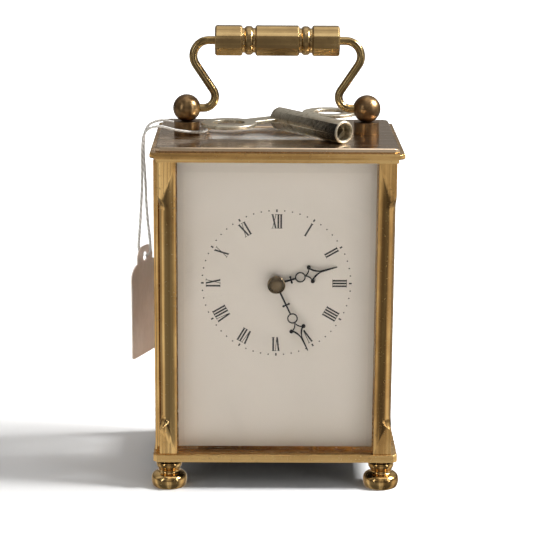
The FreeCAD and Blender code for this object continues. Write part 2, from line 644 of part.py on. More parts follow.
def make_door():
    """The glazed door: its hinge stile is rounded about the pins so that it clears the post."""
    body = DOC.addObject("PartDesign::Body", "door_frame_bar")
    sketch = new_sketch(body, "XZ_Plane", "-door_rear")
    left, right = "(-opening_half_width + door_play)", DOOR_AXIS_X
    rectangle(sketch, left, right, DOOR_LOW, DOOR_HIGH)
    rectangle(sketch, f"{left} + door_rail", f"{right} - door_rail + door_thickness / 2",
              f"{DOOR_LOW} + door_rail", f"{DOOR_HIGH} - door_rail")
    pad(body, sketch, "door_thickness")
    rebate = new_sketch(body, "XZ_Plane", "-(door_rear - door_thickness)")
    rectangle(rebate, f"{left} + door_rail - 1.2", f"{right} - door_rail + door_thickness / 2 + 1.2",
              f"{DOOR_LOW} + door_rail - 1.2", f"{DOOR_HIGH} - door_rail + 1.2")
    pocket(body, rebate, "glass_thickness")
    stile = cylinder("door_stile", "door_thickness / 2", f"{DOOR_HIGH} - {DOOR_LOW}",
                     (DOOR_AXIS_X, DOOR_AXIS_Y, DOOR_LOW))
    pins, holes = [], []
    for name, low, length in (
            ("low", f"{BASE_TOP} - 1.6", "1.6 + door_play + 3"),
            ("high", f"{DOOR_HIGH} - 3", "3 + door_play + 1.4")):
        pins.append(cylinder(f"hinge_pin_{name}", "hinge_pin_radius", length,
                             (DOOR_AXIS_X, DOOR_AXIS_Y, low)))
        holes.append(cylinder(f"hinge_hole_{name}", "hinge_pin_radius", length,
                              (DOOR_AXIS_X, DOOR_AXIS_Y, low)))
    knob_at = (f"{left} + door_rail / 2", f"({DOOR_LOW} + {DOOR_HIGH}) / 2")
    holes.append(cylinder("knob_hole", "knob_radius * 0.4", "door_thickness + 2",
                          (knob_at[0], "door_rear - door_thickness - 1", knob_at[1]), ALONG_Y))
    keep(cut("door_frame_cut", fuse("door_frame_blank", [body, stile]), holes), "door_frame")
    keep(group("hinge_pin_set", pins), "door_hinge_pins")
    knob = fuse("knob_turned", [
        cylinder("knob_shank", "knob_radius * 0.4", "door_thickness + knob_reach - 0.8",
                 (knob_at[0], "door_rear - door_thickness", knob_at[1]), ALONG_Y),
        cone("knob_head", "knob_radius * 0.7", "knob_radius", "knob_reach * 0.5",
             (knob_at[0], "door_rear + knob_reach * 0.2", knob_at[1]), ALONG_Y),
        cone("knob_cap", "knob_radius", "knob_radius * 0.75", "knob_reach * 0.3",
             (knob_at[0], "door_rear + knob_reach * 0.7", knob_at[1]), ALONG_Y),
        cylinder("knob_catch", "knob_radius * 0.9", "0.6",
                 (knob_at[0], "door_rear - door_thickness - 0.6", knob_at[1]), ALONG_Y)])
    keep(knob, "door_knob")
    width = f"({right} + door_thickness / 2 - ({left}) - 2 * door_rail + 2.2)"
    height = f"({DOOR_HIGH} - {DOOR_LOW} - 2 * door_rail + 2.2)"
    centre = f"(({left}) + {right} + door_thickness / 2) / 2"
    pane = block("door_pane", width, "glass_thickness - 0.1", height,
                 (f"{centre} - {width} / 2", "door_rear - door_thickness + 0.1",
                  f"{DOOR_LOW} + door_rail - 1.1"))
    keep(pane, "door_glass")


# ------------------------------------------------------------------ dial and hands

def make_dial():
    body = DOC.addObject("PartDesign::Body", "dial_plate")
    sketch = new_sketch(body, "XZ_Plane", "dial_face - dial_thickness")
    half = "(opening_half_width - 0.2)"
    rectangle(sketch, f"-{half}", half, "dial_bottom", f"{POST_TOP} - 0.2")
    circle(sketch, "hour_pipe_radius + 0.4", "0", "dial_centre")
    pad(body, sketch, "dial_thickness")
    keep(body, "dial_plate")
    feet = []
    for side, level in CORNERS:
        feet.append(cylinder(f"dial_foot_{SIDE_NAME[side]}_{level + 1}", "dial_foot_radius",
                             "front_plate_face + dial_face - dial_thickness + 0.8",
                             (f"{side} * (plate_width / 2 - dial_foot_inset)",
                              "-dial_face + dial_thickness",
                              f"dial_centre + {level} * dial_foot_rise"), ALONG_Y))
    keep(group("dial_foot_set", feet), "dial_feet")


def flat(wire_points):
    """A face in the XZ plane through the given (x, z) corners."""
    return Part.Face(Part.makePolygon([Vec(x, 0, z) for x, z in wire_points + wire_points[:1]]))


def disc(x, z, radius):
    return Part.Face(Part.Wire(Part.makeCircle(radius, Vec(x, 0, z), Vec(0, -1, 0))))


def hollow_diamond(low, wide_at, wide, high, rib):
    """A kite with four hollowed sides, pierced by a smaller one like it."""
    def kite(bottom, half, top):
        corners = [(0, bottom), (half, wide_at), (0, top), (-half, wide_at)]
        edges = []
        for (x1, z1), (x2, z2) in zip(corners, corners[1:] + corners[:1]):
            inner = Vec((x1 + x2) / 2 * 0.72, 0, wide_at + ((z1 + z2) / 2 - wide_at) * 0.80)
            edges.append(Part.Arc(Vec(x1, 0, z1), inner, Vec(x2, 0, z2)).toShape())
        return Part.Face(Part.Wire(edges))

    return kite(low, wide, high).cut(kite(low + 1.9 * rib, wide - 1.7 * rib, high - 4.2 * rib))


def hand_shape(hub, stem, cross_at, ring_at, ring, lobes_at, lobes, join_at, tip, hole):
    """An openwork hand pointing along +Z: cross, ring, lobed kite and a plain tip."""
    rib, bar = 0.4, 0.24
    ring_low, ring_high = ring_at - ring, ring_at + ring
    half_cross = 0.95
    pieces = [
        disc(0, 0, hub),
        flat([(-stem, 0), (stem, 0), (bar, ring_low + rib), (-bar, ring_low + rib)]),
        flat([(-half_cross, cross_at - bar), (half_cross, cross_at - bar),
              (half_cross, cross_at + bar), (-half_cross, cross_at + bar)]),
        disc(-half_cross, cross_at, 0.38), disc(half_cross, cross_at, 0.38),
        disc(0, ring_at, ring),
        hollow_diamond(ring_high - rib, lobes_at, lobes, join_at + 1.2, rib),
        disc(-lobes, lobes_at, 0.66), disc(lobes, lobes_at, 0.66),
        flat([(-0.36, join_at - 0.8), (0.36, join_at - 0.8), (0.17, tip), (-0.17, tip)]),
    ]
    depth = Vec(0, number("hand_thickness"), 0)
    solids = [piece.extrude(depth) for piece in pieces]
    blank = solids[0].fuse(solids[1:])
    for x, z, radius in ((0, ring_at, ring - rib), (0, 0, hole)):
        blank = blank.cut(disc(x, z, radius).extrude(depth))
    return blank


HOUR_HAND_Y, MINUTE_HAND_Y = "(-dial_face - 1.1)", "(-dial_face - 2.2)"


def make_hands():
    centre = number("dial_centre")
    hour = hand_shape(2.7, 0.46, 5.0, 8.15, 1.75, 11.7, 2.45, 15.6, number("hour_hand_length"),
                      number("hour_pipe_radius"))
    minute = hand_shape(2.35, 0.34, 7.6, 12.6, 1.75, 16.5, 2.2, 20.2, number("minute_hand_length"),
                        number("cannon_radius"))
    for name, shape, y, turn in (("hour_hand", hour, HOUR_HAND_Y, "hour_hand_turn"),
                                 ("minute_hand", minute, MINUTE_HAND_Y, "minute_hand_turn")):
        around = FreeCAD.Rotation(Vec(0, 1, 0), number(turn))
        keep(shaped(name, shape, (0, number(y), centre), around), name)
    front = f"({MINUTE_HAND_Y} - 0.05)"
    boss = cut("boss_cut", fuse("boss_blank", [
        cylinder("boss_rim", "boss_radius", "0.35", ("0", f"{front} - 0.35", "dial_centre"), ALONG_Y),
        cone("boss_dome", "boss_radius * 0.45", "boss_radius", "0.65",
             ("0", f"{front} - 1.0", "dial_centre"), ALONG_Y)]),
        [cylinder("boss_bore", "arbor_radius", "0.8", ("0", f"{front} - 0.5", "dial_centre"), ALONG_Y)])
    keep(boss, "hand_boss")


# ------------------------------------------------------------------ wheels

CENTRE = (0.0, number("dial_centre"))
ROOMY = 0.05    # extra centre distance that gives each mesh its backlash


def polar(origin, distance, degrees):
    angle = math.radians(degrees)
    return (origin[0] + distance * math.cos(angle), origin[1] + distance * math.sin(angle))


def mesh_distance(teeth, leaves, module):
    return number(f"{module} * ({teeth} + {leaves}) / 2") + ROOMY


BARREL = polar(CENTRE, mesh_distance("barrel_teeth", "centre_leaves", "barrel_module"), -90)
THIRD = polar(CENTRE, mesh_distance("centre_teeth", "third_leaves", "centre_module"),
              number("third_direction"))
CONTRATE = polar(THIRD, mesh_distance("third_teeth", "contrate_leaves", "third_module"),
                 number("contrate_direction"))
MINUTE_POST = polar(CENTRE, mesh_distance("minute_teeth", "cannon_leaves", "motion_module"), 215)


def meshed_phase(origin, other, teeth, phase, other_teeth):
    """Phase of the wheel at other that meshes with the one at origin, in radians."""
    line = math.atan2(other[1] - origin[1], other[0] - origin[0])
    return line + math.pi - teeth / other_teeth * (phase - line) + math.pi / other_teeth


def toothed(teeth, module, width, phase, pinion=False):
    """A solid wheel, its axis along +Y from y = 0; phase turns from +X towards +Z."""
    radius, pitch = teeth * module / 2, math.pi * module
    rise, root = (0.65, 1.35) if pinion else (0.85, 1.3)
    at_root, at_pitch, at_tip = (0.22, 0.32, 0.16) if pinion else (0.46, 0.38, 0.14)
    corners = []
    for index in range(teeth):
        middle = phase + 2 * math.pi * index / teeth
        for height, share in ((-root, -at_root), (0, -at_pitch / 2 - 0.02), (rise, -at_tip / 2),
                              (rise, at_tip / 2), (0, at_pitch / 2 + 0.02), (-root, at_root)):
            angle = middle + share * (0.5 if height == -root else 1) * pitch / radius
            reach = radius + height * module
            corners.append((reach * math.cos(angle), reach * math.sin(angle)))
    return flat(corners).extrude(Vec(0, width, 0))


def rod(radius, start, end):
    """A cylinder on the local Y axis between two depths."""
    return Part.makeCylinder(radius, end - start, Vec(0, start, 0), Vec(0, 1, 0))


def crossed(wheel, outer, inner, spokes, width, arm=1.6):
    """Cuts the windows between a wheel's rim, its hub and its spokes."""
    ring = rod(outer, -1, width + 1).cut(rod(inner, -1, width + 1))
    for index in range(spokes):
        bar = Part.makeBox(outer + 1, width + 4, arm, Vec(0, -2, -arm / 2))
        bar.rotate(Vec(), Vec(0, 1, 0), 360 * index / spokes)
        ring = ring.cut(bar)
    return wheel.cut(ring)


def shift(shape, depth):
    moved = shape.copy()
    moved.translate(Vec(0, depth, 0))
    return moved


def arbor(radius, start, end):
    """A pivoted arbor: thin pivots run in both plates, the body between them is thicker."""
    front, back = number("front_plate_face"), number("back_plate_face")
    pivot, shoulder = number("pivot_radius"), 0.25
    inner_front = front + number("plate_thickness") + shoulder
    inner_back = back - number("plate_thickness") - shoulder
    return rod(radius, max(start, inner_front), min(end, inner_back)).fuse(
        rod(pivot, front + 0.2, back - 0.2))


def wheel_at(label, shape, place):
    keep(shaped(label, shape, (place[0], 0, place[1])), label)


def make_motion_work():
    """Cannon pinion, minute wheel and hour wheel between the front plate and the dial."""
    module, play = number("motion_module"), number("pipe_play")
    cannon, leaves = int(number("cannon_leaves")), int(number("minute_leaves"))
    minute, hour = int(number("minute_teeth")), int(number("hour_teeth"))
    face, hand, tip = number("front_plate_face"), number(MINUTE_HAND_Y), number(HOUR_HAND_Y)
    core, cannon_pipe, hour_pipe = (number("arbor_radius"), number("cannon_radius"),
                                    number("hour_pipe_radius"))
    inner = math.dist(CENTRE, MINUTE_POST)
    small = (inner - ROOMY) * 2 / (leaves + hour)
    cannon_shape = shift(toothed(cannon, module, 1.6, 0.0, pinion=True), face - 1.9)
    cannon_shape = cannon_shape.fuse(rod(cannon_pipe, hand, face - 0.3)).cut(rod(core, -40, 0))
    wheel_at("cannon_pinion", cannon_shape, CENTRE)
    phase = meshed_phase(CENTRE, MINUTE_POST, cannon, 0.0, minute)
    wheel = crossed(toothed(minute, module, 0.7, phase), 5.6, 2.6, 4, 0.7)
    pinion = toothed(leaves, small, 1.6, phase, pinion=True)
    stud = number("pivot_radius") + 0.3
    wheel = shift(wheel, face - 1.5).fuse(shift(pinion, face - 3.1)).cut(rod(stud + play, -40, 0))
    wheel_at("minute_wheel", wheel, MINUTE_POST)
    post = rod(stud, face - 3.3, face + 0.9).fuse(rod(stud + 0.5, face - 3.7, face - 3.3))
    wheel_at("minute_stud", post.fuse(rod(stud + 0.6, face - 0.6, face)), MINUTE_POST)
    turn = meshed_phase(MINUTE_POST, CENTRE, leaves, phase, hour)
    hour_shape = crossed(toothed(hour, small, 0.7, turn), 6.1, 3.2, 4, 0.7)
    hour_shape = shift(hour_shape, face - 2.9).fuse(rod(hour_pipe, tip, face - 2.2))
    wheel_at("hour_wheel", hour_shape.cut(rod(cannon_pipe + play, -40, 0)), CENTRE)


def make_centre():
    """The arbor that carries the minute hand, and the wheel sleeve that drives it."""
    front, back = number("front_plate_face"), number("back_plate_face")
    core = number("arbor_radius")
    boss_end = number(MINUTE_HAND_Y) - 0.55
    shaft = rod(core, boss_end, back + 3)
    square = Part.makeBox(1.0, 3.0, 1.0, Vec(-0.5, back + 3, -0.5))
    wheel_at("centre_arbor", shaft.fuse(square), CENTRE)
    leaves, teeth = int(number("centre_leaves")), int(number("centre_teeth"))
    leaf_phase = math.pi / 2
    pinion = shift(toothed(leaves, number("barrel_module"), 2.6, leaf_phase, pinion=True),
                   front + 2.9)
    wheel = crossed(toothed(teeth, number("centre_module"), 0.8, 0.0), 10.4, 3.0, 5, 0.8)
    sleeve = rod(1.2, front + 2.2, 5.6)
    bore = rod(core + number("pivot_play"), -40, 40)
    wheel_at("centre_wheel", pinion.fuse([shift(wheel, 3.0), sleeve]).cut(bore), CENTRE)


def make_going_train():
    module, centre_teeth = number("third_module"), int(number("centre_teeth"))
    leaves, teeth = int(number("third_leaves")), int(number("third_teeth"))
    phase = meshed_phase(CENTRE, THIRD, centre_teeth, 0.0, leaves)
    third = shift(toothed(leaves, number("centre_module"), 2.2, phase, pinion=True), 2.3)
    wheel = crossed(toothed(teeth, module, 0.7, phase), 9.0, 2.4, 4, 0.7)
    wheel_at("third_wheel", third.fuse([shift(wheel, -8.0), arbor(0.75, -30, 30)]), THIRD)

    small = int(number("contrate_leaves"))
    turn = meshed_phase(THIRD, CONTRATE, teeth, phase, small)
    pinion = shift(toothed(small, module, 2.0, turn, pinion=True), -8.7)
    radius, crown = number("contrate_radius"), int(number("contrate_teeth"))
    disc_face, tip = -2.2, 0.35
    hub = crossed(rod(radius + 0.4, disc_face - 0.8, disc_face), radius - 0.9, 2.0, 4, 4.0, 1.2)
    rim = rod(radius + 0.4, disc_face - 0.1, disc_face + 0.8).cut(
        rod(radius - 0.4, disc_face - 1, disc_face + 2))
    half = math.pi * radius / crown * 0.36
    crown_teeth = []
    for index in range(crown):
        tooth = Part.Face(Part.makePolygon([
            Vec(-half * 1.25, disc_face + 0.7, 0), Vec(-half, -0.1, 0), Vec(-half * 0.35, tip, 0),
            Vec(half * 0.35, tip, 0), Vec(half, -0.1, 0), Vec(half * 1.25, disc_face + 0.7, 0),
            Vec(-half * 1.25, disc_face + 0.7, 0)])).extrude(Vec(0, 0, 0.6))
        tooth.translate(Vec(0, 0, radius - 0.3))
        tooth.rotate(Vec(), Vec(0, 1, 0), 360 * index / crown)
        crown_teeth.append(tooth)
    contrate = hub.fuse([rim, pinion, arbor(0.7, -30, 30)] + crown_teeth)
    wheel_at("contrate_wheel", contrate, CONTRATE)


def make_barrel():
    front, back = number("front_plate_face"), number("back_plate_face")
    drum, wall, length = number("drum_radius"), number("drum_wall"), number("drum_length")
    axle, play = number("barrel_arbor_radius"), number("pivot_play")
    teeth, leaves = int(number("barrel_teeth")), int(number("centre_leaves"))
    phase = meshed_phase(CENTRE, BARREL, leaves, math.pi / 2, teeth)
    low = front + 3.6
    high = low + 1.2 + length
    wheel = shift(toothed(teeth, number("barrel_module"), 1.2, phase), low)
    shell = wheel.fuse(rod(drum, low + 1.0, high)).cut(rod(drum - wall, low + 1.2, high + 1))
    wheel_at("barrel", shell.cut(rod(axle + play, -40, 40)), BARREL)
    lid = rod(drum, high, high + 0.7).fuse(rod(drum - wall, high - 0.6, high))
    wheel_at("barrel_cover", lid.cut(rod(axle + play, -40, 40)), BARREL)

    turns, strip = 9, 0.28
    start, end = axle + 0.9, drum - wall - 0.3
    steps = turns * 24
    curve = []
    for side in (0, 1):
        ring = [(start + (end - start - strip) * i / steps + side * strip, 2 * math.pi * i / 24)
                for i in range(steps + 1)]
        curve += ring if side == 0 else ring[::-1]
    spring = flat([(r * math.cos(a), r * math.sin(a)) for r, a in curve])
    wheel_at("mainspring", shift(spring.extrude(Vec(0, length - 1.4, 0)), low + 1.6), BARREL)

    square, reach = number("square_side"), number("square_reach")
    shaft = rod(axle, front + 2.1, back - 2.1).fuse([
        rod(1.5, front + 0.2, front + 2.1), rod(axle - 0.1, back - 2.1, back + 0.4),
        Part.makeBox(square, reach - back - 0.2, square, Vec(-square / 2, back + 0.2, -square / 2))])
    wheel_at("barrel_arbor", shaft.common(rod(axle, front, reach)), BARREL)
    ratchet, count = number("ratchet_radius"), int(number("ratchet_teeth"))
    corners = []
    for index in range(count):
        angle = 2 * math.pi * index / count
        corners += [(ratchet * math.cos(angle), ratchet * math.sin(angle)),
                    ((ratchet - 1.1) * math.cos(angle + 0.03), (ratchet - 1.1) * math.sin(angle + 0.03))]
    disc_shape = flat(corners).extrude(Vec(0, number("ratchet_thickness"), 0))
    hole = Part.makeBox(square, 9, square, Vec(-square / 2, -3, -square / 2)).common(rod(axle, -4, 6))
    wheel_at("ratchet_wheel", shift(disc_shape.cut(hole), back + 0.5), BARREL)


CLICK_POST = polar(BARREL, number("ratchet_radius") + 4.6, 62)


def make_click():
    """The pawl that holds the ratchet wheel, and the wire spring that presses on it."""
    back, width = number("back_plate_face"), number("ratchet_thickness")
    line = math.degrees(math.atan2(BARREL[1] - CLICK_POST[1], BARREL[0] - CLICK_POST[0]))
    nose = polar((0, 0), 4.6, line + 42)
    side = polar((0, 0), 1.3, line + 130)
    other = polar((0, 0), 1.5, line - 60)
    lever = flat([side, nose, other]).extrude(Vec(0, width, 0)).fuse(rod(2.0, 0, width))
    screw_play = 0.75 + number("pipe_play")
    pawl = shift(lever, back + 0.5).cut(rod(screw_play, 0, 30))
    nearest = number("ratchet_radius") + 0.1
    gone = rod(nearest, back - 1, back + 5)
    gone.translate(Vec(BARREL[0] - CLICK_POST[0], 0, BARREL[1] - CLICK_POST[1]))
    wheel_at("click", pawl.cut(gone), CLICK_POST)
    wire = 0.35
    foot = polar((0, 0), 7.0, line + 190)
    free = polar((0, 0), 2.6, line + 145)
    run = Part.makeLine(Vec(foot[0], back + 1.1, foot[1]), Vec(free[0], back + 1.1, free[1]))
    spring = Part.Wire(run).makePipeShell(
        [Part.Wire(Part.makeCircle(wire, run.Vertexes[0].Point, run.tangentAt(run.FirstParameter)))],
        True, False)
    stub = rod(0.7, back - 1.2, back + 1.6)
    stub.translate(Vec(foot[0], 0, foot[1]))
    wheel_at("click_spring", spring.fuse(stub), CLICK_POST)


# ------------------------------------------------------------------ movement frame

def make_movement_frame():
    """Two plates held by four pillars; the pillars are screwed to the base from below."""
    play = number("pivot_play")
    front, back = number("front_plate_face"), number("back_plate_face")
    thick, width = number("plate_thickness"), number("plate_width")
    low, high = number(BASE_TOP) + 0.05, number("plate_top")
    pillar_places = [(side * number("frame_pillar_x"), number(level)) for side in (-1, 1)
                     for level in ("frame_pillar_low", "frame_pillar_high")]
    for name, face in (("movement_front_plate", front), ("movement_back_plate", back - thick)):
        plate = Part.makeBox(width, thick, high - low, Vec(-width / 2, face, low))
        bores = [(THIRD, number("pivot_radius") + play), (CONTRATE, number("pivot_radius") + play),
                 (CENTRE, number("arbor_radius") + play)]
        bores += [(place, number("frame_screw_radius")) for place in pillar_places]
        if face == front:
            bores += [(BARREL, 1.5 + play), (MINUTE_POST, number("pivot_radius") + 0.3)]
            bores += [((side * number("plate_width / 2 - dial_foot_inset"),
                        number("dial_centre") + level * number("dial_foot_rise")),
                       number("dial_foot_radius")) for side, level in CORNERS]
        else:
            line = math.degrees(math.atan2(BARREL[1] - CLICK_POST[1], BARREL[0] - CLICK_POST[0]))
            bores += [(BARREL, number("barrel_arbor_radius") - 0.1 + play), (CLICK_POST, 0.75),
                      (polar(CLICK_POST, 7.0, line + 190), 0.7)]
        for place, radius in bores:
            hole = rod(radius, face - 1, face + thick + 1)
            hole.translate(Vec(place[0], 0, place[1]))
            plate = plate.cut(hole)
        for x in PLATFORM_SCREW_X:
            plate = plate.cut(moved(post(number("platform_screw_radius"), high - 3.5, high + 1),
                                    (x, face + thick / 2)))
        keep(shaped(name, plate), name)
    pillars, screws = [], []
    thread = number("frame_screw_radius")
    mounts = [-number("mount_front"), number("mount_rear")]
    for x, z in pillar_places:
        column = rod(number("frame_pillar_radius"), front + thick, back - thick)
        for start, end in ((front + thick, front + thick + 4), (back - thick - 4, back - thick)):
            column = column.cut(rod(thread, start - 0.01, end))
        column.translate(Vec(x, 0, z))
        if z < number("dial_centre"):
            for y in mounts:
                column = column.cut(Part.makeCylinder(thread, 3.4, Vec(x, y, z - 3.2), Vec(0, 0, 1)))
        pillars.append(column)
        for start, end, head in ((front - 0.9, front + thick + 3.6, front - 0.9),
                                 (back - thick - 3.6, back + 0.9, back)):
            screw = rod(thread, start, end).fuse(rod(thread * 1.9, head, head + 0.9))
            slot = Part.makeBox(thread * 4, 0.5, 0.4, Vec(-thread * 2, head if head < 0 else
                                                         head + 0.4, -0.2))
            screw = screw.cut(slot)
            screw.translate(Vec(x, 0, z))
            screws.append(screw)
    for side in (-1, 1):
        for y in mounts:
            x = side * number("frame_pillar_x")
            foot = number("foot_height")
            top = number("frame_pillar_low")
            screws.append(Part.makeCylinder(thread, top - foot - 0.2, Vec(x, y, foot), Vec(0, 0, 1)).fuse(
                Part.makeCylinder(thread * 1.9, 0.9, Vec(x, y, foot - 0.9), Vec(0, 0, 1))))
    click_screw = rod(0.75, back - 1.6, back + 2.0).fuse(rod(1.6, back + 1.85, back + 2.6))
    click_screw.translate(Vec(CLICK_POST[0], 0, CLICK_POST[1]))
    screws.append(click_screw)
    keep(shaped("movement_pillars", Part.makeCompound(pillars)), "movement_pillars")
    keep(shaped("movement_screws", Part.makeCompound(screws)), "movement_screws")


# ------------------------------------------------------------------ platform escapement

LINE = math.radians(number("escape_line"))
ESCAPE = (CONTRATE[0], number("escape_y"))


def along_line(distance):
    return (ESCAPE[0] + distance * math.cos(LINE), ESCAPE[1] + distance * math.sin(LINE))


LEVER = along_line(number("escape_to_lever"))
BALANCE = along_line(number("escape_to_lever + lever_to_balance"))
PLATFORM_TOP = number("plate_top + platform_thickness")
PLATFORM_SCREW_X = (-number("platform_width / 2 - 2.6"), number("platform_width / 2 - 2.6"))


def post(radius, low, high):
    return Part.makeCylinder(radius, high - low, Vec(0, 0, low), Vec(0, 0, 1))


def moved(shape, place):
    copy = shape.copy()
    copy.translate(Vec(place[0], place[1], 0))
    return copy


def level_plate(corners, low, thick):
    wire = Part.makePolygon([Vec(x, y, low) for x, y in corners + corners[:1]])
    return Part.Face(wire).extrude(Vec(0, 0, thick))


def make_platform():
    low, thick = number("plate_top"), number("platform_thickness")
    width, rear = number("platform_width"), number("platform_rear")
    depth = rear + number("platform_front")
    plate = Part.makeBox(width, depth, thick, Vec(-width / 2, -number("platform_front"), low))
    play = number("pivot_play")
    for place, radius in ((ESCAPE, 1.7), (LEVER, 0.35 + play), (BALANCE, 0.35 + play)):
        plate = plate.cut(moved(post(radius, low - 1, low + thick + 1), place))
    screws = []
    shank = number("platform_screw_radius")
    for x in PLATFORM_SCREW_X:
        for y in (number("front_plate_face + plate_thickness / 2"),
                  number("back_plate_face - plate_thickness / 2")):
            plate = plate.cut(moved(post(shank, low - 1, low + thick + 1), (x, y)))
            screw = post(shank, low - 3.2, low + thick + 0.7).fuse(
                post(1.5, low + thick, low + thick + 0.9))
            slot = Part.makeBox(4, 0.4, 0.4, Vec(-2, -0.2, low + thick + 0.5))
            screws.append(moved(screw.cut(slot), (x, y)))
    keep(shaped("platform", plate), "platform")
    keep(shaped("platform_screws", Part.makeCompound(screws)), "platform_screws")


def make_escape():
    """Escape wheel with club teeth and the pinion that the contrate wheel drives."""
    teeth, radius = int(number("escape_teeth")), number("escape_radius")
    corners = []
    for index in range(teeth):
        angle = 2 * math.pi * index / teeth
        for reach, lead in ((radius - 1.3, -0.20), (radius, -0.02), (radius, 0.05), (radius - 1.3, 0.0)):
            corners.append((reach * math.cos(angle + lead), reach * math.sin(angle + lead)))
    top = PLATFORM_TOP
    wheel = level_plate(corners, top + 1.0, 0.5)
    ring = post(radius - 1.8, top, top + 2).cut(post(1.0, top, top + 2))
    for index in range(4):
        bar = Part.makeBox(radius, 0.7, 4, Vec(0, -0.35, top - 1))
        bar.rotate(Vec(), Vec(0, 0, 1), 90 * index)
        ring = ring.cut(bar)
    wheel = wheel.cut(ring)
    leaves = int(number("escape_leaves"))
    pitch_radius = number("contrate_radius * escape_leaves / contrate_teeth")
    gap = -math.pi / 2
    pinion = toothed(leaves, 2 * pitch_radius / leaves, 3.0, gap + math.pi / leaves, pinion=True)
    pinion.rotate(Vec(), Vec(1, 0, 0), 90)
    bottom = CONTRATE[1] + number("contrate_radius") - 1.4
    pinion.translate(Vec(0, 0, bottom + 3.0 - pinion.BoundBox.ZMax))
    shaft = post(0.5, bottom, top + 1.8).fuse(post(0.3, top + 1.7, top + 2.6))
    keep(shaped("escape_wheel", moved(wheel.fuse([pinion, shaft]), ESCAPE)), "escape_wheel")


def make_lever():
    """The lever: two pallets held clear of the wheel, and the fork towards the balance."""
    low = PLATFORM_TOP + 1.0
    reach = number("escape_to_lever")
    wheel = number("escape_radius") + 0.45
    angle = math.radians(36)
    pallets = []
    for side in (-1, 1):
        x, y = wheel * math.cos(angle) - reach, side * wheel * math.sin(angle)
        arm = level_plate([(-0.6, -0.5), (0.6, 0.5), (x + 0.9, y + side * 0.9), (x + 0.1, y + side * 1.1)]
                          if side > 0 else
                          [(0.6, -0.5), (-0.6, 0.5), (x + 0.1, y - 1.1), (x + 0.9, y - 0.9)], low, 0.5)
        stone = level_plate([(x, y), (x + 0.5, y + side * 0.9), (x + 1.2, y + side * 0.7),
                             (x + 0.7, y - side * 0.15)], low - 0.1, 0.7)
        pallets += [arm, stone]
    length = number("lever_to_balance") - 1.5
    stem = level_plate([(0, -0.45), (length, -0.3), (length, 0.3), (0, 0.45)], low, 0.5)
    fork = level_plate([(length - 0.3, -0.8), (length + 0.6, -0.8), (length + 0.6, 0.8),
                        (length - 0.3, 0.8)], low, 0.5)
    notch = level_plate([(length + 0.1, -0.3), (length + 1, -0.3), (length + 1, 0.3),
                         (length + 0.1, 0.3)], low - 1, 3)
    staff = post(0.35, number("plate_top") + 0.2, low + 1.9)
    lever = post(0.9, low, low + 0.5).fuse(pallets + [stem, fork, staff]).cut(notch)
    lever.rotate(Vec(), Vec(0, 0, 1), math.degrees(LINE))
    keep(shaped("lever", moved(lever, LEVER)), "lever")
    play = number("pivot_play")
    across = (-math.sin(LINE), math.cos(LINE))
    bar = []
    for side in (-1, 1):
        foot = (across[0] * 6.4 * side, across[1] * 6.4 * side)
        bar.append(moved(post(1.3, PLATFORM_TOP, low + 1.1), foot))
    beam = Part.makeBox(2.0, 12.8, 0.8, Vec(-1.0, -6.4, low + 1.1))
    beam.rotate(Vec(), Vec(0, 0, 1), math.degrees(LINE))
    bridge = bar[0].fuse([bar[1], beam, post(1.3, low + 1.1, low + 1.9)])
    caps = [moved(post(1.3, low + 1.1, low + 1.9), (across[0] * 6.4 * s, across[1] * 6.4 * s))
            for s in (-1, 1)]
    bridge = bridge.fuse(caps).cut(post(0.35 + play, low, low + 3))
    keep(shaped("lever_bridge", moved(bridge, LEVER)), "lever_bridge")


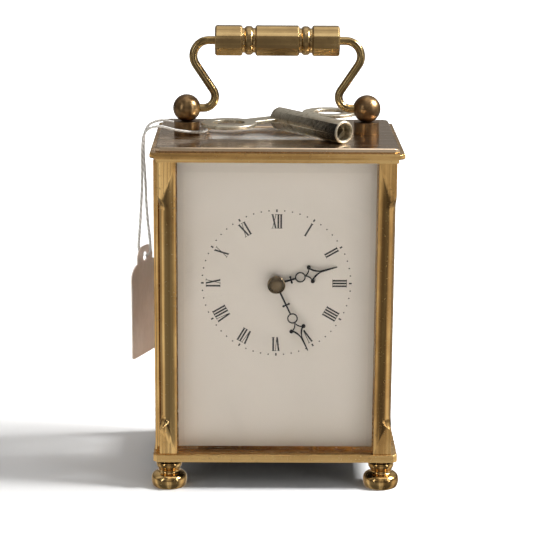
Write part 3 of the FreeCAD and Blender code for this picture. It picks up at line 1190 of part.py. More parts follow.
def make_balance():
    """Balance wheel on its staff, flat hairspring, cock and regulator."""
    radius, width = number("balance_radius"), number("balance_width")
    low = PLATFORM_TOP + number("balance_rise")
    wheel = post(radius, low, low + 0.9).cut(post(radius - width, low - 1, low + 2))
    bar = Part.makeBox(2 * radius - 0.4, 1.3, 0.6, Vec(-radius + 0.2, -0.65, low))
    bar.rotate(Vec(), Vec(0, 0, 1), 25)
    timing = []
    for index in range(12):
        head = Part.makeCylinder(0.42, 0.7, Vec(radius - 0.15, 0, low + 0.45), Vec(1, 0, 0))
        head.rotate(Vec(), Vec(0, 0, 1), 30 * index)
        timing.append(head)
    staff = post(0.35, number("plate_top") + 0.2, low + 4.1).fuse(post(0.7, low - 1.0, low + 1.3))
    roller = post(1.3, low - 1.4, low - 0.9).fuse(moved(post(0.2, low - 2.1, low - 1.0), (0.0, 0.95)))
    balance = wheel.fuse([bar, post(1.4, low, low + 0.6), staff, roller] + timing)
    keep(shaped("balance_wheel", moved(balance, BALANCE)), "balance_wheel")

    turns, strip, start, end = 7, 0.09, 1.0, 3.5
    steps = turns * 20
    rim = []
    for side in (0, 1):
        ring = [(start + (end - start) * i / steps + side * strip, 2 * math.pi * i / 20)
                for i in range(steps + 1)]
        rim += ring if side == 0 else ring[::-1]
    spiral = level_plate([(r * math.cos(a), r * math.sin(a)) for r, a in rim], low + 1.7, 0.35)
    collet = post(1.15, low + 1.6, low + 2.15).cut(post(0.35, low, low + 3))
    keep(shaped("hairspring", moved(spiral.fuse(collet), BALANCE)), "hairspring")

    cock_low = low + 2.9
    play = number("pivot_play")
    foot_at = (9.8, -5.6)
    aim = math.atan2(-foot_at[1], -foot_at[0])
    side = (math.sin(aim), -math.cos(aim))
    beam = [(foot_at[0] + side[0] * 3.0, foot_at[1] + side[1] * 3.0), (side[0] * 1.9, side[1] * 1.9),
            (-side[0] * 1.9, -side[1] * 1.9), (foot_at[0] - side[0] * 3.0, foot_at[1] - side[1] * 3.0)]
    cock = level_plate(beam, cock_low, 1.2).fuse([
        post(2.6, cock_low, cock_low + 1.2), moved(post(3.0, PLATFORM_TOP, cock_low + 1.2), foot_at)])
    stud = moved(post(0.35, low + 1.7, cock_low + 0.1), (side[0] * 1.0 + math.cos(aim) * -4.1,
                                                         side[1] * 1.0 + math.sin(aim) * -4.1))
    cock = cock.fuse(stud).cut(post(0.35 + play, low, cock_low + 3))
    keep(shaped("balance_cock", moved(cock, BALANCE)), "balance_cock")

    index_low = cock_low + 1.25
    hub = post(2.0, index_low, index_low + 0.5).cut(post(1.1, index_low - 1, index_low + 1))
    pointer = level_plate([(1.3, -0.45), (6.5, -0.15), (6.5, 0.15), (1.3, 0.45)], index_low, 0.5)
    pointer.rotate(Vec(), Vec(0, 0, 1), math.degrees(aim) + 25)
    keep(shaped("regulator", moved(hub.fuse(pointer), BALANCE)), "regulator")


# ------------------------------------------------------------------ key

def make_key():
    """The winding key: a pipe with a square socket, and a flat wing pierced by two holes."""
    axis = number(f"{DECK} + key_lift + key_pipe_radius")
    at = (number("key_x"), number("key_y"), axis)
    turn = FreeCAD.Rotation(Vec(0, 0, 1), number("key_turn"))
    radius, reach, tail = (number("key_pipe_radius"), number("key_reach"), number("key_tail"))
    lobe, hole = number("key_lobe_radius"), number("key_hole_radius")
    offset, thick = number("key_hole_spacing") / 2, number("key_wing_thickness")

    along = Vec(1, 0, 0)
    pipe = Part.makeCylinder(radius, reach + tail, Vec(-tail, 0, 0), along)
    taper = 1.2
    pipe = pipe.fuse(Part.makeCone(radius * 0.7, radius, taper, Vec(-tail - taper, 0, 0), along))
    mouth = number("key_mouth_depth")
    pipe = pipe.cut(Part.makeCylinder(number("key_mouth_radius"), mouth, Vec(reach - mouth, 0, 0), along))
    side, deep = number("key_socket"), number("key_socket_depth")
    socket = Part.makeBox(deep, side, side, Vec(reach - deep, -side / 2, -side / 2))
    socket.rotate(Vec(), along, 45)
    pipe = pipe.cut(socket)
    slot_half = number("key_neck") / 2
    slot = Part.makeBox(2 * slot_half, 4 * radius, thick, Vec(-slot_half, -2 * radius, -thick / 2))
    pipe = pipe.cut(slot)
    chamfered = [edge for edge in pipe.Edges if edge.BoundBox.XLength < 0.01
                 and abs(edge.BoundBox.XMin - reach) < 0.01]
    keep(shaped("key_pipe", pipe.makeChamfer(0.35, chamfered), at, turn), "key_pipe")

    waist = slot_half - 0.02

    def lobe_disc(centre, size):
        return Part.makeCylinder(size, thick, Vec(0, centre, -thick / 2))

    tangent = math.sqrt(lobe ** 2 - waist ** 2)
    neck = Part.makeBox(2 * waist, 2 * (offset - tangent + 0.8), thick,
                        Vec(-waist, -(offset - tangent + 0.8), -thick / 2))
    wing = neck.fuse([lobe_disc(-offset, lobe), lobe_disc(offset, lobe)])
    wing = wing.cut(lobe_disc(-offset, hole)).cut(lobe_disc(offset, hole))
    keep(shaped("key_wing", wing, at, turn), "key_wing")


# ------------------------------------------------------------------ string and tag

# The string leaves the tag's hole, climbs the left side, goes round the left pillar and back down.
# Each place is (left, back, up): up from the deck, and left from the lip or from the pillar's axis.
STRING_UP = [
    (4, 0.1, -42.5), (5.3, 0.45, -41.7), (5.7, 0.2, -39.5), (5.3, -0.8, -35.2),
    (4.6, -1.8, -26.9), (4, -2.4, -15.4), (4, -3.4, -5.4), (3.2, -4.6, 1.4), (-1.8, -6.2, 3.4),
]
STRING_LOOP = [
    (3.95, -7.6, 2), (-2.65, -6.6, 1), (-6.65, -2.6, 0.9), (-6.65, 2.6, 0.9), (-2.65, 6.6, 1),
    (3.95, 7.6, 2),
]
STRING_DOWN = [
    (-1.8, 6.4, 3.4), (3.2, 4.9, 1.4), (4, 3.6, -5.4), (3.3, 2.4, -15.4), (2.9, 1.6, -26.9),
    (2, 0.6, -35.2), (1.5, -0.3, -39.5), (2, -0.5, -41.7), (3.2, -0.1, -42.5),
]


def string_route():
    """The string's corner points, measured from the lip, the left pillar and the deck."""
    lip, pillar, deck = number(LIP_X), number("pillar_x"), number(DECK)
    places = [(lip, STRING_UP), (pillar, STRING_LOOP), (lip, STRING_DOWN)]
    return [(-left_from - left, back, deck + up)
            for left_from, run in places for left, back, up in run]


def tube_path(route):
    """Straight runs joined by tangent arcs, each arc as large as its two runs allow."""
    points = [Vec(*place) for place in route]
    edges, last, radii = [], points[0], []
    for before, corner, after in zip(points, points[1:], points[2:]):
        arriving, leaving = (corner - before), (after - corner)
        turn = arriving.getAngle(leaving)
        shorter = min(arriving.Length, leaving.Length)
        setback = 0.45 * shorter
        radius = setback / math.tan(turn / 2)
        radii.append(radius)
        start = corner - arriving * (setback / arriving.Length)
        end = corner + leaving * (setback / leaving.Length)
        bisector = (leaving.normalize() - arriving.normalize()).normalize()
        middle = corner + bisector * (radius / math.cos(turn / 2) - radius)
        edges += [Part.makeLine(last, start), Part.Arc(start, middle, end).toShape()]
        last = end
    edges.append(Part.makeLine(last, points[-1]))
    return Part.Wire(edges), radii


def tag_face(half, tall):
    """The card's outline: a narrow head, ogee shoulders and rounded lower corners."""
    head, notch, shoulder, corner = half * 0.2, half * 0.55, half * 0.45, 1.2
    edges = []
    for side in (1, -1):
        top, quirk = Vec(side * head, 0, 0), Vec(side * notch, 0, -shoulder)
        low_quirk = Vec(side * notch, 0, -shoulder - 1.0)
        wide_at = Vec(side * half, 0, -half * 1.15)
        foot = Vec(side * half, 0, corner - tall)
        under = Vec(side * (half - corner), 0, -tall)
        first = Vec(side * notch * 0.86, 0, -shoulder * 0.35)
        second = Vec(side * (half * 0.93), 0, -half * 0.78)
        bend = Vec(side * (half - 0.3 * corner), 0, 0.3 * corner - tall)
        run = [Part.Arc(top, first, quirk).toShape(), Part.makeLine(quirk, low_quirk),
               Part.Arc(low_quirk, second, wide_at).toShape(), Part.makeLine(wide_at, foot),
               Part.Arc(foot, bend, under).toShape()]
        edges += run
    edges += [Part.makeLine(Vec(half - corner, 0, -tall), Vec(corner - half, 0, -tall)),
              Part.makeLine(Vec(-head, 0, 0), Vec(head, 0, 0))]
    return Part.Face(Part.Wire(Part.__sortEdges__(edges)))


def make_string_and_tag():
    path, radii = tube_path(string_route())
    radius = number("string_radius")
    start = path.OrderedVertexes[0].Point
    section = Part.Wire(Part.makeCircle(radius, start, path.OrderedEdges[0].tangentAt(
        path.OrderedEdges[0].FirstParameter)))
    tube = path.makePipeShell([section], True, False)
    expected = math.pi * radius ** 2 * path.Length
    print("string length %.1f, volume %.1f against %.1f, radii %s" % (
        path.Length, tube.Volume, expected, " ".join("%.1f" % r for r in radii)))
    keep(shaped("string", tube), "string")

    wide, tall, thick = (number(name) for name in ("tag_width", "tag_height", "tag_thickness"))
    card = tag_face(wide / 2, tall).extrude(Vec(0, thick, 0))
    card.translate(Vec(0, -thick / 2, 0))
    hole = rod(number("tag_hole_radius"), -2, 2)
    hole.translate(Vec(0, 0, -3.6))
    at = (-number(f"{LIP_X} + tag_clear"), 0, number(f"{DECK} - tag_drop"))
    keep(shaped("tag", card.cut(hole), at, FreeCAD.Rotation(Vec(0, 0, 1), number("tag_turn"))), "tag")


# ------------------------------------------------------------------ build

def check_objects():
    for item in DOC.Objects:
        if "Invalid" in item.State or "Error" in item.State:
            raise RuntimeError(f"{item.Label}: {item.State}")
    broken = [item.Label for item in NODES if item.Shape.isNull() or not item.Shape.isValid()]
    if broken:
        raise RuntimeError("null or not valid: " + ", ".join(broken))


def main():
    make_feet()
    make_base()
    for side, face in CORNERS:
        make_post(side, face)
    make_panes()
    make_side_frame()
    make_cornice()
    make_post_screws()
    make_top_plate()
    make_top_glass()
    make_pillars()
    make_arms()
    make_grip()
    make_door()
    make_dial()
    make_hands()
    make_motion_work()
    make_centre()
    make_going_train()
    make_barrel()
    make_click()
    make_movement_frame()
    make_platform()
    make_escape()
    make_lever()
    make_balance()
    make_key()
    make_string_and_tag()
    DOC.recompute()
    check_objects()
    os.makedirs("parts", exist_ok=True)
    for item in NODES:
        item.Shape.exportStep(f"parts/{item.Label}.step")
    print(len(NODES), "parts written")


main()
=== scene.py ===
"""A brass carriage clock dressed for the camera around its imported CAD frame."""
import json
import logging
import math
from dataclasses import dataclass, field
from enum import Enum
from typing import Optional, Sequence, Union

import bmesh
import bpy
from mathutils import Matrix, Vector


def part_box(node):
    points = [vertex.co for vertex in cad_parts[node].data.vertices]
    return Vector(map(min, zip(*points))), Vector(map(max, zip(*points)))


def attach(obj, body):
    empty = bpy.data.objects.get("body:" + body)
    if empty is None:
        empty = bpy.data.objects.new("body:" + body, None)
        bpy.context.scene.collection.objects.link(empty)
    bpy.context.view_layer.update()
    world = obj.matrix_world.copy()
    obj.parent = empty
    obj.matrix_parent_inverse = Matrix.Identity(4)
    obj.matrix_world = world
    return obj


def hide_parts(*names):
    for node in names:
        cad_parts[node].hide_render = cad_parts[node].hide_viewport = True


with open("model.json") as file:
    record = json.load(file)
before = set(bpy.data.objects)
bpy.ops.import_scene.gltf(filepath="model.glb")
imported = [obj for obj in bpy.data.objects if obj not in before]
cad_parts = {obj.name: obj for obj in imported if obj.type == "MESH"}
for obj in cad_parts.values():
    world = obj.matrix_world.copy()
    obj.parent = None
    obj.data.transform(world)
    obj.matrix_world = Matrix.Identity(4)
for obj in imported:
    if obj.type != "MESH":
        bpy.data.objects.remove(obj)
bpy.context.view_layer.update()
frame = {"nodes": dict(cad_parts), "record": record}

LOG = logging.getLogger("carriage_clock")
MM = 0.001

Number = Union[int, float]
Piece = bpy.types.Object
Shape = bmesh.types.BMesh
Socket = bpy.types.NodeSocket
Tree = bpy.types.NodeTree
Colour = tuple[float, float, float]
Point = tuple[float, float, float]


# ------------ shader toolkit

class Wire:
    """One shader socket that can be used in Python arithmetic."""

    def __init__(self, paint: "Paint", socket: Socket) -> None:
        """Keeps the material being built and the output socket it wraps."""
        self.paint = paint
        self.socket = socket

    def _math(self, operation: str, *values: Union["Wire", Number]) -> "Wire":
        """Adds a Math node and returns its output."""
        return self.paint.node("ShaderNodeMath", {"operation": operation}, dict(enumerate(values)))

    def __add__(self, other: Union["Wire", Number]) -> "Wire":
        """self + other."""
        return self._math("ADD", self, other)

    __radd__ = __add__

    def __mul__(self, other: Union["Wire", Number]) -> "Wire":
        """self * other."""
        return self._math("MULTIPLY", self, other)

    __rmul__ = __mul__

    def __sub__(self, other: Union["Wire", Number]) -> "Wire":
        """self - other."""
        return self._math("SUBTRACT", self, other)

    def __rsub__(self, other: Number) -> "Wire":
        """other - self."""
        return self._math("SUBTRACT", other, self)

    def __truediv__(self, other: Union["Wire", Number]) -> "Wire":
        """self / other."""
        return self._math("DIVIDE", self, other)

    def __pow__(self, other: Number) -> "Wire":
        """self ** other."""
        return self._math("POWER", self, other)

    def clamp(self) -> "Wire":
        """self held between 0 and 1."""
        return self._math("MINIMUM", self._math("MAXIMUM", self, 0.0), 1.0)

    def largest(self, other: Union["Wire", Number]) -> "Wire":
        """The larger of self and other."""
        return self._math("MAXIMUM", self, other)

    def size(self) -> "Wire":
        """self without its sign."""
        return self._math("ABSOLUTE", self)

    def ramp(self, low: Number, high: Number) -> "Wire":
        """0 at low, 1 at high, and a smooth change between."""
        settings = {"interpolation_type": "SMOOTHSTEP"}
        return self.paint.node("ShaderNodeMapRange", settings,
                               {"Value": self, "From Min": low, "From Max": high}, "Result")


Value = Union[Wire, Number, Sequence[float]]


class Paint:
    """Builds one node-based material around a Principled surface."""

    def __init__(self, name: str) -> None:
        """Starts a material with an empty Principled surface.

        Args:
            name: the material's name.
        """
        self.material = bpy.data.materials.new(name)
        self.material.use_nodes = True
        self.tree = self.material.node_tree
        self.surface = next(n for n in self.tree.nodes if n.type == "BSDF_PRINCIPLED")
        self._place: Optional[Wire] = None

    def node(self, kind: str, settings: Optional[dict] = None, inputs: Optional[dict] = None,
             output: Union[int, str] = 0) -> Wire:
        """Adds a node.

        Args:
            kind: the node's type name.
            settings: properties that are set first, such as an operation.
            inputs: values or links by socket name or index.
            output: the output wanted, by name or index.

        Returns:
            The wrapped output.
        """
        item = self.tree.nodes.new(kind)
        for key, value in (settings or {}).items():
            setattr(item, key, value)
        for key, value in (inputs or {}).items():
            self.link(item.inputs[key], value)
        return Wire(self, item.outputs[output])

    def link(self, socket: Socket, value: Value) -> None:
        """Feeds a socket from another one, or sets its own value."""
        if isinstance(value, Wire):
            self.tree.links.new(value.socket, socket)
        elif isinstance(value, (int, float)):
            socket.default_value = value
        else:
            socket.default_value = tuple(value) + (1.0,) * (len(socket.default_value) - len(value))

    def place(self) -> Wire:
        """Object coordinates, in metres."""
        if self._place is None:
            self._place = self.node("ShaderNodeTexCoord", output="Object")
        return self._place

    def stretched(self, scale: Point, turn: Point = (0.0, 0.0, 0.0)) -> Wire:
        """Object coordinates scaled along each axis, after a turn in radians."""
        return self.node("ShaderNodeMapping", {}, {"Vector": self.place(), "Scale": scale,
                                                   "Rotation": turn}, "Vector")

    def noise(self, scale: Number, detail: Number = 3.0, rough: Number = 0.55,
              where: Optional[Wire] = None, warp: Number = 0.0) -> Wire:
        """Cloudy noise between 0 and 1, with scale in cells for each metre."""
        return self.node("ShaderNodeTexNoise", {}, {
            "Vector": where or self.place(), "Scale": scale, "Detail": detail,
            "Roughness": rough, "Distortion": warp}, "Fac")

    def axis(self, letter: str) -> Wire:
        """One object coordinate."""
        return self.node("ShaderNodeSeparateXYZ", {}, {0: self.place()}, letter)

    def facing(self, letter: str) -> Wire:
        """One component of the surface normal, in the object's own frame."""
        raw = self.node("ShaderNodeTexCoord", output="Normal")
        return self.node("ShaderNodeSeparateXYZ", {}, {0: raw}, letter)

    def mix(self, share: Value, first: Value, second: Value) -> Wire:
        """A colour between first, at 0, and second, at 1."""
        return self.node("ShaderNodeMix", {"data_type": "RGBA"},
                         {0: share, 6: first, 7: second}, 2)

    def bump(self, height: Wire, strength: Number, distance: Number) -> None:
        """Feeds the surface's Normal from a height in units of distance, in metres."""
        normal = self.node("ShaderNodeBump", {}, {"Height": height, "Strength": strength,
                                                  "Distance": distance}, "Normal")
        self.link(self.surface.inputs["Normal"], normal)

    def set(self, **values: Value) -> "Paint":
        """Sets the surface's sockets; an underscore stands for a space in a name."""
        for key, value in values.items():
            self.link(self.surface.inputs[key.replace("_", " ")], value)
        return self


# ------------ finishes

class Grain(Enum):
    """Which way a metal was drawn or polished: cells for each metre along X, Y and Z."""

    UPRIGHT = (900.0, 900.0, 9.0)
    CROSSWISE = (9.0, 900.0, 900.0)
    EVEN = (420.0, 420.0, 420.0)


@dataclass(frozen=True)
class Brass:
    """Polished brass, streaked along its grain and browned where the polish has gone."""

    name: str
    bright: Colour = (0.95, 0.64, 0.27)
    deep: Colour = (0.68, 0.395, 0.135)
    tarnish: Colour = (0.20, 0.115, 0.055)
    age: float = 0.45
    polish: float = 0.16
    grain: Grain = Grain.EVEN
    patch_size: float = 0.012
    specks: float = 0.5
    wave: float = 1.0
    # how strongly faces that point down are painted near black as shade
    painted_underside_shade: float = 0.0
    slot: str = "polished_brass"

    def build(self) -> bpy.types.Material:
        """Returns the material."""
        paint = Paint(self.name)
        wide = paint.stretched(tuple(max(7.0, 0.32 * s) for s in self.grain.value))
        fine = paint.stretched(self.grain.value)
        bands = paint.noise(1.0, 3.0, 0.55, wide)
        hair = paint.noise(1.0, 3.0, 0.6, fine)
        patch = paint.noise(1.0 / self.patch_size, 4.0, 0.6)
        cloud = bands * 0.60 + patch * 0.22 + hair * 0.18
        centre = 0.66 - 0.24 * self.age
        stain = cloud.ramp(centre - 0.07, centre + 0.12)
        fleck = paint.noise(1500.0, 2.0, 0.5).ramp(0.66, 0.74) * self.specks
        pit = paint.noise(420.0, 3.0, 0.6).ramp(0.66, 0.80) * self.specks
        warm = paint.mix(cloud.ramp(0.38, 0.58), self.bright, self.deep)
        dull = (stain * (0.15 + 0.55 * self.age) + fleck * 0.6 + pit * 0.35).clamp()
        colour = paint.mix(dull, warm, self.tarnish)
        # Painted shade: faces that point down are darkened towards near black, to deepen the shadow
        # under the case.
        if self.painted_underside_shade:
            underside_shade_mask = (paint.facing("Z") * -1.0).ramp(0.85, 0.97) * self.painted_underside_shade
            colour = paint.mix(underside_shade_mask, colour, (0.030, 0.027, 0.024))
        paint.set(Base_Color=colour, Metallic=1.0,
                  Roughness=(self.polish + stain * 0.14 + hair * 0.06 + fleck * 0.25
                             + pit * 0.15).clamp())
        paint.bump(hair * 0.30 + bands * (4.0 * self.wave) - fleck * 0.9 - pit * 0.9, 0.30, 0.00006)
        return paint.material


@dataclass(frozen=True)
class Steel:
    """A steel or plated finish with fine wear and a little rust or plating loss."""

    name: str
    base: Colour
    worn: Colour
    rough: float = 0.3
    wear: float = 0.4
    slot: str = "steel"

    def build(self) -> bpy.types.Material:
        """Returns the material."""
        paint = Paint(self.name)
        cloud = paint.noise(190.0, 5.0, 0.68, warp=0.8)
        pits = paint.noise(1100.0, 3.0, 0.6)
        mask = (cloud.ramp(0.62 - 0.2 * self.wear, 0.74 - 0.14 * self.wear) * 0.8
                + pits.ramp(0.60, 0.70) * self.wear * 0.6).clamp()
        lines = paint.stretched((2600.0, 90.0, 2600.0), (0.0, 0.0, 0.62))
        scratch = paint.noise(1.0, 2.0, 0.6, lines)
        paint.set(Base_Color=paint.mix(mask, self.base, self.worn), Metallic=1.0,
                  Roughness=(self.rough + mask * 0.24 + scratch * 0.12).clamp())
        paint.bump(cloud * 1.2 + pits * 0.9 + scratch * 0.5, 0.35, 0.00006)
        return paint.material


@dataclass(frozen=True)
class ClearGlass:
    """Thin clear glass: a faint grey veil that turns to a sheen at grazing angles, with a painted
    sheen on the bevelled strips.
    """

    name: str
    tint: Colour = (0.12, 0.13, 0.12)
    veil: float = 0.035
    slot: str = "bevelled_glass"

    def build(self) -> bpy.types.Material:
        """Returns the material."""
        paint = Paint(self.name)
        graze = paint.node("ShaderNodeLayerWeight", {}, {"Blend": 0.5}, "Facing") ** 4.0
        smear = paint.noise(26.0, 4.0, 0.6, warp=1.2).ramp(0.45, 0.75)
        dust = paint.noise(1900.0, 2.0, 0.5).ramp(0.70, 0.78)
        # Painted sheen: faces that lean off the axes, the bevelled strips, get a thicker veil for
        # the light they catch.
        flat = paint.facing("X").size().largest(paint.facing("Y").size())
        bevel_sheen = 1 - flat.largest(paint.facing("Z").size()).ramp(0.95, 0.995)
        paint.set(Base_Color=self.tint, Metallic=0.0,
                  Roughness=(0.03 + smear * 0.05).clamp(), IOR=1.5,
                  Alpha=(self.veil + graze * 0.40 + smear * 0.02 + dust * 0.06
                         + bevel_sheen * 0.12).clamp())
        return paint.material


@dataclass(frozen=True)
class Enamel:
    """The dial's satin cream paint, with a faint orange-peel surface, aged mottling and painted
    shade darkening its edges.
    """

    name: str
    cream: Colour = (0.650, 0.578, 0.487)
    # aged mottling and the painted edge shade both use this colour
    aged_and_shaded: Colour = (0.570, 0.497, 0.392)
    slot: str = "dial_enamel"

    def build(self) -> bpy.types.Material:
        """Returns the material."""
        paint = Paint(self.name)
        low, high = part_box("dial_plate")
        middle, half = (low + high) / 2, (high - low) / 2
        across = ((paint.axis("X") - middle.x) / half.x).size()
        upright = ((paint.axis("Z") - middle.z) / half.z).size()
        # Painted shade: darker towards every edge of the dial, where the case around it shades the
        # plate.
        rim = across.largest(upright).ramp(0.82, 1.0)
        cloud = paint.noise(24.0, 4.0, 0.6)
        spots = paint.noise(2100.0, 2.0, 0.5).ramp(0.755, 0.79)
        mask = (rim * 0.45 + cloud.ramp(0.45, 0.75) * 0.35 + spots * 0.5).clamp()
        paint.set(Base_Color=paint.mix(mask, self.cream, self.aged_and_shaded), Metallic=0.0,
                  Roughness=(0.42 + cloud * 0.12).clamp(), Coat_Weight=0.08)
        paint.bump(paint.noise(1400.0, 2.0, 0.5) + spots * 0.6, 0.12, 0.00003)
        return paint.material


@dataclass(frozen=True)
class Ink:
    """Printed black-brown enamel ink with slightly uneven cover."""

    name: str
    dark: Colour = (0.030, 0.027, 0.025)
    thin: Colour = (0.085, 0.075, 0.066)
    slot: str = "blued_steel"

    def build(self) -> bpy.types.Material:
        """Returns the material."""
        paint = Paint(self.name)
        cover = paint.noise(2600.0, 3.0, 0.6)
        paint.set(Base_Color=paint.mix(cover.ramp(0.50, 0.72), self.dark, self.thin),
                  Roughness=(0.38 + cover * 0.2).clamp())
        paint.bump(cover, 0.1, 0.00002)
        return paint.material


@dataclass(frozen=True)
class Gem:
    """A synthetic ruby bearing, its red paled towards grazing angles as a painted sheen."""

    name: str
    red: Colour = (0.50, 0.012, 0.045)
    slot: str = "bevelled_glass"

    def build(self) -> bpy.types.Material:
        """Returns the material."""
        paint = Paint(self.name)
        # Painted sheen: the red turns paler and pinker towards grazing angles.
        glow = paint.node("ShaderNodeLayerWeight", {}, {"Blend": 0.35}, "Facing")
        paint.set(Base_Color=paint.mix(glow, self.red, (0.80, 0.10, 0.16)), Roughness=0.06,
                  Coat_Weight=0.6)
        return paint.material


@dataclass(frozen=True)
class Cotton:
    """Twisted white cotton, greyed by handling and with painted shade in the grooves of the twist;
    the twist follows the thread's own length.
    """

    name: str
    white: Colour = (0.80, 0.775, 0.73)
    grey: Colour = (0.47, 0.44, 0.40)
    slot: str = "string_cotton"

    def build(self) -> bpy.types.Material:
        """Returns the material."""
        paint = Paint(self.name)
        raw = paint.node("ShaderNodeTexCoord", output="UV")
        along = paint.node("ShaderNodeSeparateXYZ", {}, {0: raw}, "X")
        around = paint.node("ShaderNodeSeparateXYZ", {}, {0: raw}, "Y")
        strands = paint.node("ShaderNodeMath", {"operation": "SINE"},
                             {0: along * 620.0 + around * (4 * math.pi)}) * 0.5 + 0.5
        fuzz = paint.noise(5200.0, 3.0, 0.6)
        soil = paint.noise(130.0, 3.0, 0.6).ramp(0.45, 0.75)
        # Painted shade: the grooves between the twisted strands are greyed; soil adds real dirt.
        shade = ((1 - strands) * 0.55 + soil * 0.4 + fuzz * 0.15).clamp()
        paint.set(Base_Color=paint.mix(shade, self.white, self.grey), Roughness=0.92,
                  Sheen_Weight=0.25)
        paint.bump(strands + fuzz * 0.4, 0.7, 0.00012)
        return paint.material


@dataclass(frozen=True)
class Card:
    """Soft grey-pink card with fibres and a cloudy tone."""

    name: str
    body: Colour = (0.66, 0.54, 0.455)
    pale: Colour = (0.78, 0.66, 0.58)
    slot: str = "tag_card"

    def build(self) -> bpy.types.Material:
        """Returns the material."""
        paint = Paint(self.name)
        fibre = paint.noise(1.0, 4.0, 0.65, paint.stretched((900.0, 900.0, 260.0), (0.3, 0.2, 0.0)))
        cloud = paint.noise(70.0, 4.0, 0.6)
        shade = (cloud.ramp(0.35, 0.7) * 0.6 + fibre.ramp(0.35, 0.7) * 0.4).clamp()
        paint.set(Base_Color=paint.mix(shade, self.body, self.pale), Roughness=0.88,
                  Sheen_Weight=0.1)
        paint.bump(fibre + cloud * 0.6, 0.4, 0.00008)
        return paint.material


class Palette:
    """Every finish of the clock, each built once."""

    def __init__(self) -> None:
        """Builds the materials."""
        finishes = {
            "post": Brass("post_brass", age=0.50, polish=0.10, grain=Grain.UPRIGHT, specks=0.7,
                          wave=2.4),
            "moulding": Brass("moulding_brass", age=0.50, polish=0.15, grain=Grain.CROSSWISE,
                              specks=0.8),
            "deck": Brass("top_plate_brass", bright=(0.72, 0.56, 0.40), deep=(0.58, 0.44, 0.30),
                          tarnish=(0.32, 0.23, 0.16), age=0.45, polish=0.13,
                          grain=Grain.CROSSWISE, patch_size=0.02, wave=0.4),
            # the base's downward faces get painted shade, near black, under the case
            "base": Brass("base_brass", tarnish=(0.30, 0.19, 0.10), age=0.40, polish=0.22,
                          grain=Grain.CROSSWISE, specks=0.8, painted_underside_shade=1.0),
            "feet": Brass("foot_brass", age=0.35, polish=0.13, patch_size=0.006, specks=0.6,
                          wave=0.3),
            "arms": Brass("handle_arm_brass", bright=(0.50, 0.36, 0.17), deep=(0.33, 0.22, 0.09),
                          age=0.50, polish=0.17, patch_size=0.007, wave=0.3),
            "grip": Brass("grip_brass", bright=(0.60, 0.425, 0.20), deep=(0.42, 0.28, 0.12),
                          tarnish=(0.11, 0.07, 0.04), age=0.60, polish=0.20,
                          grain=Grain.CROSSWISE, patch_size=0.009, wave=0.5, slot="aged_brass"),
            "balls": Brass("ball_brass", bright=(0.34, 0.215, 0.10), deep=(0.22, 0.13, 0.06),
                           tarnish=(0.10, 0.06, 0.035), age=0.65, polish=0.26,
                           patch_size=0.006, wave=0.3),
            "boss": Brass("boss_brass", bright=(0.46, 0.355, 0.235), deep=(0.33, 0.245, 0.15),
                          tarnish=(0.13, 0.09, 0.055), age=0.45, polish=0.17, patch_size=0.003,
                          wave=0.2),
            "works": Brass("movement_brass", bright=(0.84, 0.64, 0.30), deep=(0.70, 0.49, 0.20),
                           tarnish=(0.36, 0.22, 0.09), age=0.18, polish=0.22,
                           grain=Grain.UPRIGHT, specks=0.2, slot="movement_brass"),
            "wheels": Brass("wheel_brass", bright=(0.86, 0.67, 0.32), deep=(0.74, 0.52, 0.22),
                            tarnish=(0.36, 0.22, 0.09), age=0.15, polish=0.20,
                            patch_size=0.006, specks=0.2, slot="movement_brass"),
            "steel": Steel("bright_steel", (0.56, 0.56, 0.55), (0.30, 0.27, 0.24), 0.2, 0.2),
            "blue": Steel("blued_steel", (0.045, 0.05, 0.085), (0.10, 0.075, 0.07), 0.26, 0.3,
                          "blued_steel"),
            "hands": Steel("hand_steel", (0.050, 0.047, 0.050), (0.11, 0.085, 0.07), 0.34, 0.4,
                           "blued_steel"),
            "key": Steel("key_nickel", (0.66, 0.60, 0.48), (0.28, 0.24, 0.17), 0.30, 0.70,
                         "key_nickel"),
            # near-black finish inside the key's bore: painted shade in the hollow
            "bore": Steel("key_bore", (0.035, 0.030, 0.024), (0.02, 0.017, 0.014), 0.55, 0.6,
                          "key_nickel"),
            "glass": ClearGlass("pane_glass"),
            "top_glass": ClearGlass("window_glass", (0.84, 0.84, 0.80), 0.16),
            "enamel": Enamel("dial_enamel"),
            "ink": Ink("dial_ink"),
            "ruby": Gem("ruby"),
            "cotton": Cotton("string_cotton"),
            "card": Card("tag_card"),
        }
        self.slots = {key: finish.slot for key, finish in finishes.items()}
        self.materials = {key: finish.build() for key, finish in finishes.items()}

    def dress(self, piece: Piece, finish: str) -> None:
        """Gives every face of a piece one finish."""
        piece.data.materials.clear()
        piece.data.materials.append(self.materials[finish])

    def give(self, piece: Piece, finish: str, slot: str, body: str) -> Piece:
        """Dresses a piece and has it ride a body. Returns the piece."""
        self.dress(piece, finish)
        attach(piece, body)
        return piece


# ------------ mesh helpers

def new_piece(name: str, mesh: bpy.types.Mesh) -> Piece:
    """Links a mesh into the scene as a piece at the origin."""
    piece = bpy.data.objects.new(name, mesh)
    bpy.context.scene.collection.objects.link(piece)
    return piece


def settle(shape: Shape, name: str, smooth: float = 35.0) -> Piece:
    """Turns a bmesh into a smooth-shaded piece with its normals outward.

    Args:
        shape: the mesh being built; it is freed.
        name: the piece's name.
        smooth: edges sharper than this many degrees stay sharp.

    Returns:
        The new object.
    """
    bmesh.ops.remove_doubles(shape, verts=shape.verts, dist=1e-7)
    bmesh.ops.recalc_face_normals(shape, faces=shape.faces)
    mesh = bpy.data.meshes.new(name)
    shape.to_mesh(mesh)
    shape.free()
    mesh.shade_smooth()
    mesh.set_sharp_from_angle(angle=math.radians(smooth))
    return new_piece(name, mesh)


